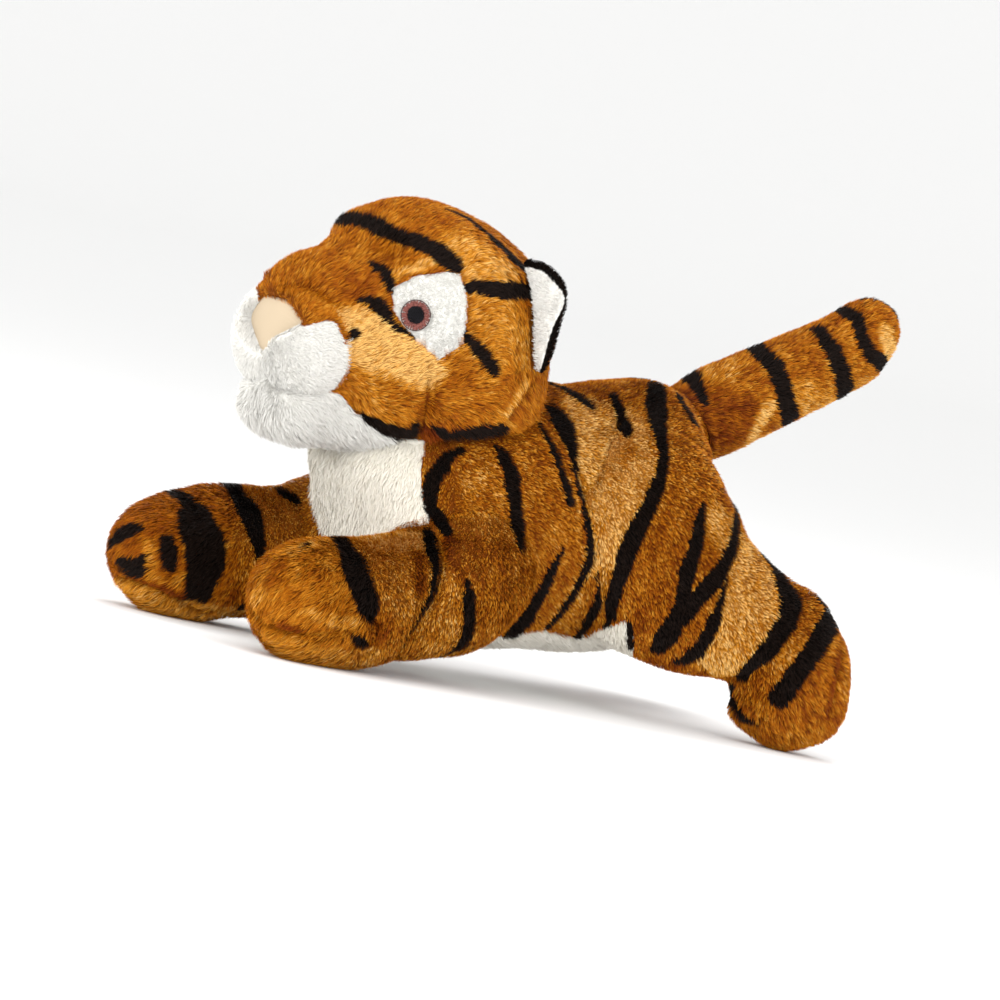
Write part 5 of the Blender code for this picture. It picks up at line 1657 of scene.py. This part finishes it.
def make_eye(side, tree):
    """An embroidered eye: radial satin stitches for the iris, and crossed ones for the pupil, laid on
    the head's skin."""
    label = "left" if side < 0 else "right"
    aim, back, up = eye_ways(side)
    centre = head_place(EYE[0], EYE[1], EYE[2]) * np.array([1, -side, 1])
    rng = np.random.default_rng(41 + side)

    def on_skin(flat, height):
        places = []
        for a, b in flat.reshape(-1, 2):
            start = centre + back * a + up * b + aim * 0.03
            hit = tree.ray_cast(Vector(start), Vector(-aim))[0]
            places.append(np.array(hit))
        places = np.array(places).reshape(*flat.shape[:-1], 3)
        return places + aim * height[..., None]

    def stitches(inner, outer, number, height, dome):
        angle = math.tau * (np.arange(number) + rng.uniform(-0.3, 0.3, number)) / number
        share = np.linspace(0, 1, 5)
        low = inner + rng.uniform(-0.2, 0.2, number) * MM * 0.8
        high = outer + rng.uniform(-0.25, 0.2, number) * MM
        reach = low[:, None] + (high - low)[:, None] * share
        lean = angle[:, None] + rng.normal(size=number)[:, None] * 0.05 * share
        flat = np.stack([reach * np.cos(lean), reach * np.sin(lean)], axis=-1)
        arch = height + dome * np.sin(share * math.pi)[None, :] * np.ones((number, 1))
        return on_skin(flat, arch)

    iris = tube_mesh(
        f"iris_{label}_stitches", np.concatenate([
            stitches(PUPIL_RADIUS * 0.85, IRIS_RADIUS, 96, 2.2 * MM, 0.3 * MM),
            stitches(PUPIL_RADIUS * 0.9, IRIS_RADIUS * 0.96, 60, 2.5 * MM, 0.3 * MM),
        ]), 0.24 * MM, 6, IRIS_THREAD,
    )
    rows = []
    for offset in np.linspace(-0.92, 0.92, 20):
        half = math.sqrt(1 - offset**2) * PUPIL_RADIUS
        share = np.linspace(-1, 1, 6)
        rows.append(np.stack([
            share * half * rng.uniform(0.93, 1.05), np.full(6, offset * PUPIL_RADIUS),
        ], axis=-1))
    flat = np.array(rows)
    arch = 2.8 * MM + 0.35 * MM * (1 - np.linspace(-1, 1, 6) ** 2)[None, :] * np.ones((20, 1))
    lower = on_skin(flat @ np.array([[0.6, 0.8], [-0.8, 0.6]]), arch)
    upper = on_skin(flat[::2] @ np.array([[0.75, -0.66], [0.66, 0.75]]), arch[::2] + 0.3 * MM)
    pupil = tube_mesh(
        f"pupil_{label}_stitches", np.concatenate([lower, upper]), 0.26 * MM, 6, PUPIL_THREAD
    )
    angle = np.linspace(0, math.tau, 49)
    ring = np.stack([np.cos(angle), np.sin(angle)], axis=-1)[None]
    edges = np.concatenate([ring * IRIS_RADIUS, ring * PUPIL_RADIUS * 1.08])
    edge = tube_mesh(
        f"iris_{label}_edges", on_skin(edges, np.full((2, 49), 2.6 * MM)), 0.22 * MM, 6, EDGE_THREAD
    )
    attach(edge, "head")
    for piece, node, slot_name in (
        (iris, f"iris_{label}", "rose_brown_thread"), (pupil, f"pupil_{label}", "black_thread"),
    ):
        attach(piece, "head")
        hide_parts(node)


# ------------------------------------------------------------------ ears


def make_ear(side):
    """An ear: a white front lining inside a dark rim, golden behind."""
    label = "left" if side < 0 else "right"
    form = ear_form(side)
    upright, reach, front = ear_ways(side)
    base = form.origin

    def dye_of(points, ways):
        local = points - base
        tall, wide, deep = local @ upright, local @ reach, local @ front
        above = 4 * MM * smooth_step(0, 0.2, tall / EAR_HEIGHT)
        edge = np.interp(tall + above, form.table[:, 0], form.table[:, 3]) - wide
        rim = (edge < (4.4 - 2.0 * smooth_step(-0.2, 0.2, tall / EAR_HEIGHT)) * MM)
        rim |= tall > 0.42 * EAR_HEIGHT
        dyes = np.where((deep > -0.5 * MM) & ~rim, WHITE, BLACK)
        dyes[(deep < -1.2 * MM) & (edge > 3.4 * MM)] = GOLDEN
        return dyes, np.where(dyes == WHITE, 0.65, 0.35)

    def comb(points, outward):
        white = (dye_of(points, outward)[0] == WHITE)[:, None]
        return np.where(white, upright * 0.6 - reach * 0.8, upright * 0.4 + reach)

    def coat(points, dyes):
        return np.where(dyes == WHITE, 2.4, 2.6) * MM, np.full(len(points), 0.6), 0.3

    skin = joined_skin(form, 80, 90, (), None, lambda p: HEAD.holds(p, -2.0 * MM), reach)
    build_piece(
        f"ear_{label}", form, skin, (), f"ear_{label}", (f"ear_{label}_back", f"ear_{label}_lining"),
        dye_of, comb, coat, 401 + side, density=4.4, width=0.3 * MM, tuft=1.2 * MM,
        cull=lambda p: HEAD.holds(p, -1.0 * MM),
    )


# ------------------------------------------------------------------ legs


def make_front_leg(side):
    """A front leg, with its stripes, a longer coat on its paw, and its paler sole."""
    label = "left" if side < 0 else "right"
    form, skin = (FRONT_LEFT, FRONT_SKINS[0]) if side < 0 else (FRONT_RIGHT, FRONT_SKINS[1])
    stripes, tones, creases = SIDE_STRIPES, SIDE_TONES, SIDE_CREASES
    if side > 0:
        tree, centre = search_tree(skin[0]), skin[0].mean(axis=(0, 1))
        stripes = laid_strokes(tree, centre, FRONT_RIGHT_STROKES)
        tones = laid_strokes(tree, centre, FRONT_RIGHT_TONES)
        creases = laid_lines(tree, centre, FRONT_RIGHT_CREASES)

    def dye_of(points, ways):
        near = faced(points, ways, form)
        dyes = painted(near, np.full(len(points), GOLDEN), stripes, 0.25 * MM, 51)
        # The left leg's base tone is raised against the shadow of the head (painted light); the right leg's lower base
        # is partly painted shade on the far side.
        tone = toned(near, tones, 53, 0.54 if side < 0 else 0.40, 0.6)
        x, z = points[:, 0] + MIDDLE_X, points[:, 2]
        sole = (x < -0.090) & (z < 0.011 + 0.001 * waves(points, 12 * MM, 52))
        dyes[sole] = GOLDEN
        tone[sole] = 0.66 if side < 0 else 0.70
        return dyes, tone

    def paw(points):
        """How much points belong to the paw, whose coat is longer."""
        return smooth_step(-0.104, -0.118, points[:, 0] + MIDDLE_X)

    def comb(points, outward):
        more = paw(points)
        return np.column_stack([
            -0.2 - 0.8 * more, np.full(len(points), 0.15 * side), -0.8 - 0.1 * more,
        ])

    def coat(points, dyes):
        more = paw(points)
        return (3.2 + 3.2 * more) * MM, 1.02 - 0.52 * more, 0.5 - 0.2 * more

    build_piece(
        f"front_leg_{label}", form, skin, creases, f"front_leg_{label}",
        (f"front_leg_{label}_cover", f"front_sole_{label}", f"front_leg_{label}_filling"),
        dye_of, comb, coat, 501 + side, density=3.5, tuft=1.3 * MM,
        contrast=lambda points: 0.24 - 0.15 * paw(points),
        cull=lambda p: BODY.holds(p, -2.0 * MM),
    )


def make_hind_leg(side):
    """A hind leg. The right one takes the left one's stripes, turned and mirrored with it."""
    label = "left" if side < 0 else "right"
    form, skin = (HIND_LEFT, HIND_SKINS[0]) if side < 0 else (HIND_RIGHT, HIND_SKINS[1])

    def dye_of(points, ways):
        mirror = np.array([1, -side, 1])
        near = faced(hind_as_left(points, side), ways * mirror, HIND_LEFT)
        dyes = painted(near, np.full(len(points), GOLDEN), SIDE_STRIPES, 0.25 * MM, 22)
        dyes[in_outline(seen(near), BELLY_AREA) & (dyes != BLACK)] = CREAM
        return dyes, toned(near, SIDE_TONES, 23)

    def footward(points):
        """How much points belong to the foot, whose coat is longer."""
        return smooth_step(0.060, 0.085, (points - form.origin) @ form.along)

    def comb(points, outward):
        foot = footward(points)[:, None]
        return form.along * 0.9 - Z_AXIS * (0.65 - 0.4 * foot) + Y_AXIS * 0.1 * side

    def coat(points, dyes):
        foot = footward(points)
        return (3.0 + 1.6 * foot) * MM, 1.10 - 0.50 * foot, 0.55

    build_piece(
        f"hind_leg_{label}", form, skin, SIDE_CREASES if side < 0 else (), f"hind_leg_{label}",
        (f"hind_leg_{label}_cover", f"hind_sole_{label}", f"hind_leg_{label}_filling"),
        dye_of, comb, coat, 601 + side, density=3.6, tuft=1.2 * MM, contrast=0.28,
        cull=lambda p: BODY.holds(p, -2.0 * MM),
    )


# ------------------------------------------------------------------ tail


def make_tail():
    """The tail, with its rings and dark tip."""
    skin = joined_skin(
        TAIL, 150, 110, ((BODY, TAIL_REACH),), bumped(TAIL_BUMPS),
        lambda p: BODY.holds(p, 0.5 * MM), TAIL.along,
    )
    tree, centre = search_tree(skin[0]), skin[0].mean(axis=(0, 1))
    rings = laid_strokes(tree, centre, TAIL_STROKES)
    tones = laid_strokes(tree, centre, TAIL_TONES)

    def dye_of(points, ways):
        near = faced(points, ways, TAIL)
        dyes = painted(near, np.full(len(points), GOLDEN), rings, 0.25 * MM, 71)
        return dyes, toned(near, tones, 73)

    def coat(points, dyes):
        return np.full(len(points), 4.4) * MM, np.full(len(points), 0.5), 0.45

    build_piece(
        "tail", TAIL, skin, (), "tail", ("tail_cover", "tail_filling"), dye_of,
        lambda points, outward: np.broadcast_to(TAIL.along - Z_AXIS * 0.4, points.shape), coat,
        701, density=3.4, tuft=1.4 * MM, contrast=0.24,
        cull=lambda p: BODY.holds(p, -1.5 * MM),
    )


def make_hidden():
    """The ring of ladder stitches in the neck and the wad of fibre in the tail's root."""
    axis = NECK_AXIS
    side = np.cross(Y_AXIS, axis)
    angle = math.radians(33.0)
    distance = NECK_SEAT_RADIUS + 1.2 * MM
    around = np.linspace(0, math.tau, 73)
    radius = distance * math.sin(angle)
    centre = NECK_PLACE + axis * distance * math.cos(angle)
    ring = centre + (Y_AXIS * np.cos(around)[:, None] + side * np.sin(around)[:, None]) * radius
    twist = around * 30
    lines = []
    for ply in range(2):
        shift = twist + math.pi * ply
        out = unit(ring - centre)
        lines.append(ring + (out * np.cos(shift)[:, None] + axis * np.sin(shift)[:, None]) * 0.25 * MM)
    made = tube_mesh("neck_stitch_yarn", np.array(lines), 0.3 * MM, 6, SEAM_THREAD)
    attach(made, "neck")
    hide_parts("neck_stitching")
    form = ball_form(TAIL_ROOT - MIDDLE_X * X_AXIS, X_AXIS, Y_AXIS, Z_AXIS, (0.022, 0.022, 0.022))
    grid, _ = form.skin(30, 36, 0.2 * MM)
    bare = grid.reshape(-1, 3)
    wad = skin_object("tail_root_wad", grid, np.full((len(bare), 3), 0.75), CLOTH)
    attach(wad, "tail_root")
    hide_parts("tail_root_filling")


IRIS_THREAD = thread_look("rose_brown_thread", (0.095, 0.028, 0.022), (0.27, 0.095, 0.080))
PUPIL_THREAD = thread_look("black_thread", (0.002, 0.002, 0.002), (0.008, 0.007, 0.010), 0.7)
EDGE_THREAD = thread_look("dark_brown_thread", (0.020, 0.008, 0.008), (0.060, 0.024, 0.022), 0.6)
SEAM_THREAD = thread_look("brown_sewing_thread", (0.14, 0.06, 0.02), (0.28, 0.13, 0.05), 0.6)


# ------------------------------------------------------------------ stage


def area_light(name, place, aim, size, power, colour=(1, 1, 1)):
    """A square lamp that faces a place."""
    data = bpy.data.lights.new(name, "AREA")
    data.shape = "SQUARE"
    data.size = size
    data.energy = power
    data.color = colour
    lamp = bpy.data.objects.new(name, data)
    lamp.location = Vector(place)
    lamp.rotation_euler = (Vector(aim) - Vector(place)).to_track_quat("-Z", "Y").to_euler()
    bpy.context.scene.collection.objects.link(lamp)


def make_stage():
    """A pale floor that curves up into a backdrop, soft lamps, a white room and the camera.

    The backdrop is further off than the camera, so it hides the toy from no side.
    """
    ahead = unit(-CAMERA_BACK * np.array([1, 1, 0]))
    across = np.array([ahead[1], -ahead[0], 0.0])
    curve = np.linspace(0.1, math.pi / 2, 16)
    reach = np.concatenate([[-8.0, -2.0, 2.0, 6.0], 6.0 + np.sin(curve) * 1.2])
    rise = np.concatenate([np.zeros(4), 1.2 - np.cos(curve) * 1.2])
    reach, rise = np.append(reach, reach[-1]), np.append(rise, 6.0)
    wide = np.array([-8.0, 8.0])
    places = (
        ahead * reach[:, None, None] + across * wide[None, :, None] + Z_AXIS * rise[:, None, None]
    ).reshape(-1, 3)
    step = np.arange(len(reach) - 1) * 2
    faces = np.stack([step, step + 1, step + 3, step + 2], axis=-1)
    floor = mesh_object("studio_floor", places, faces.ravel(), np.full(len(faces), 4))
    floor.data.materials.append(floor_look())
    world = bpy.data.worlds.new("white_room")
    bpy.context.scene.world = world
    world.use_nodes = True
    world.node_tree.nodes["Background"].inputs["Color"].default_value = (1, 1, 1, 1)
    world.node_tree.nodes["Background"].inputs["Strength"].default_value = 1.0
    aim = (-0.02, 0, 0.09)
    right, back = CAMERA_RIGHT, CAMERA_BACK
    area_light("key_lamp", back * 1.1 - right * 0.5 + Z_AXIS * 1.05, aim, 1.3, 11, (1, 0.98, 0.95))
    area_light("fill_lamp", back * 1.3 + right * 1.2 + Z_AXIS * 0.4, aim, 1.0, 11)
    area_light("low_lamp", back * 1.2 - right * 0.7 + Z_AXIS * 0.1, aim, 1.0, 15)
    area_light("top_lamp", -back * 0.7 + Z_AXIS * 1.5, aim, 0.8, 9)
    data = bpy.data.cameras.new("camera")
    data.sensor_width = 36
    data.lens = FOCAL_PIXELS * 36 / PICTURE
    data.clip_start, data.clip_end = 0.1, 40
    camera = bpy.data.objects.new("camera", data)
    camera.matrix_world = Matrix((
        (right[0], CAMERA_UP[0], back[0], CAMERA_PLACE[0]),
        (right[1], CAMERA_UP[1], back[1], CAMERA_PLACE[1]),
        (right[2], CAMERA_UP[2], back[2], CAMERA_PLACE[2]),
        (0, 0, 0, 1),
    ))
    bpy.context.scene.collection.objects.link(camera)
    bpy.context.scene.camera = camera
    bpy.context.scene.view_settings.view_transform = "Standard"


def build():
    """Makes every piece, then the stage."""
    make_body()
    head = make_head()
    tree = search_tree(head)
    for side in (-1, 1):
        make_muzzle(side)
        make_eye(side, tree)
        make_ear(side)
        make_front_leg(side)
        make_hind_leg(side)
    make_nose()
    make_tail()
    make_hidden()
    make_stage()


build()
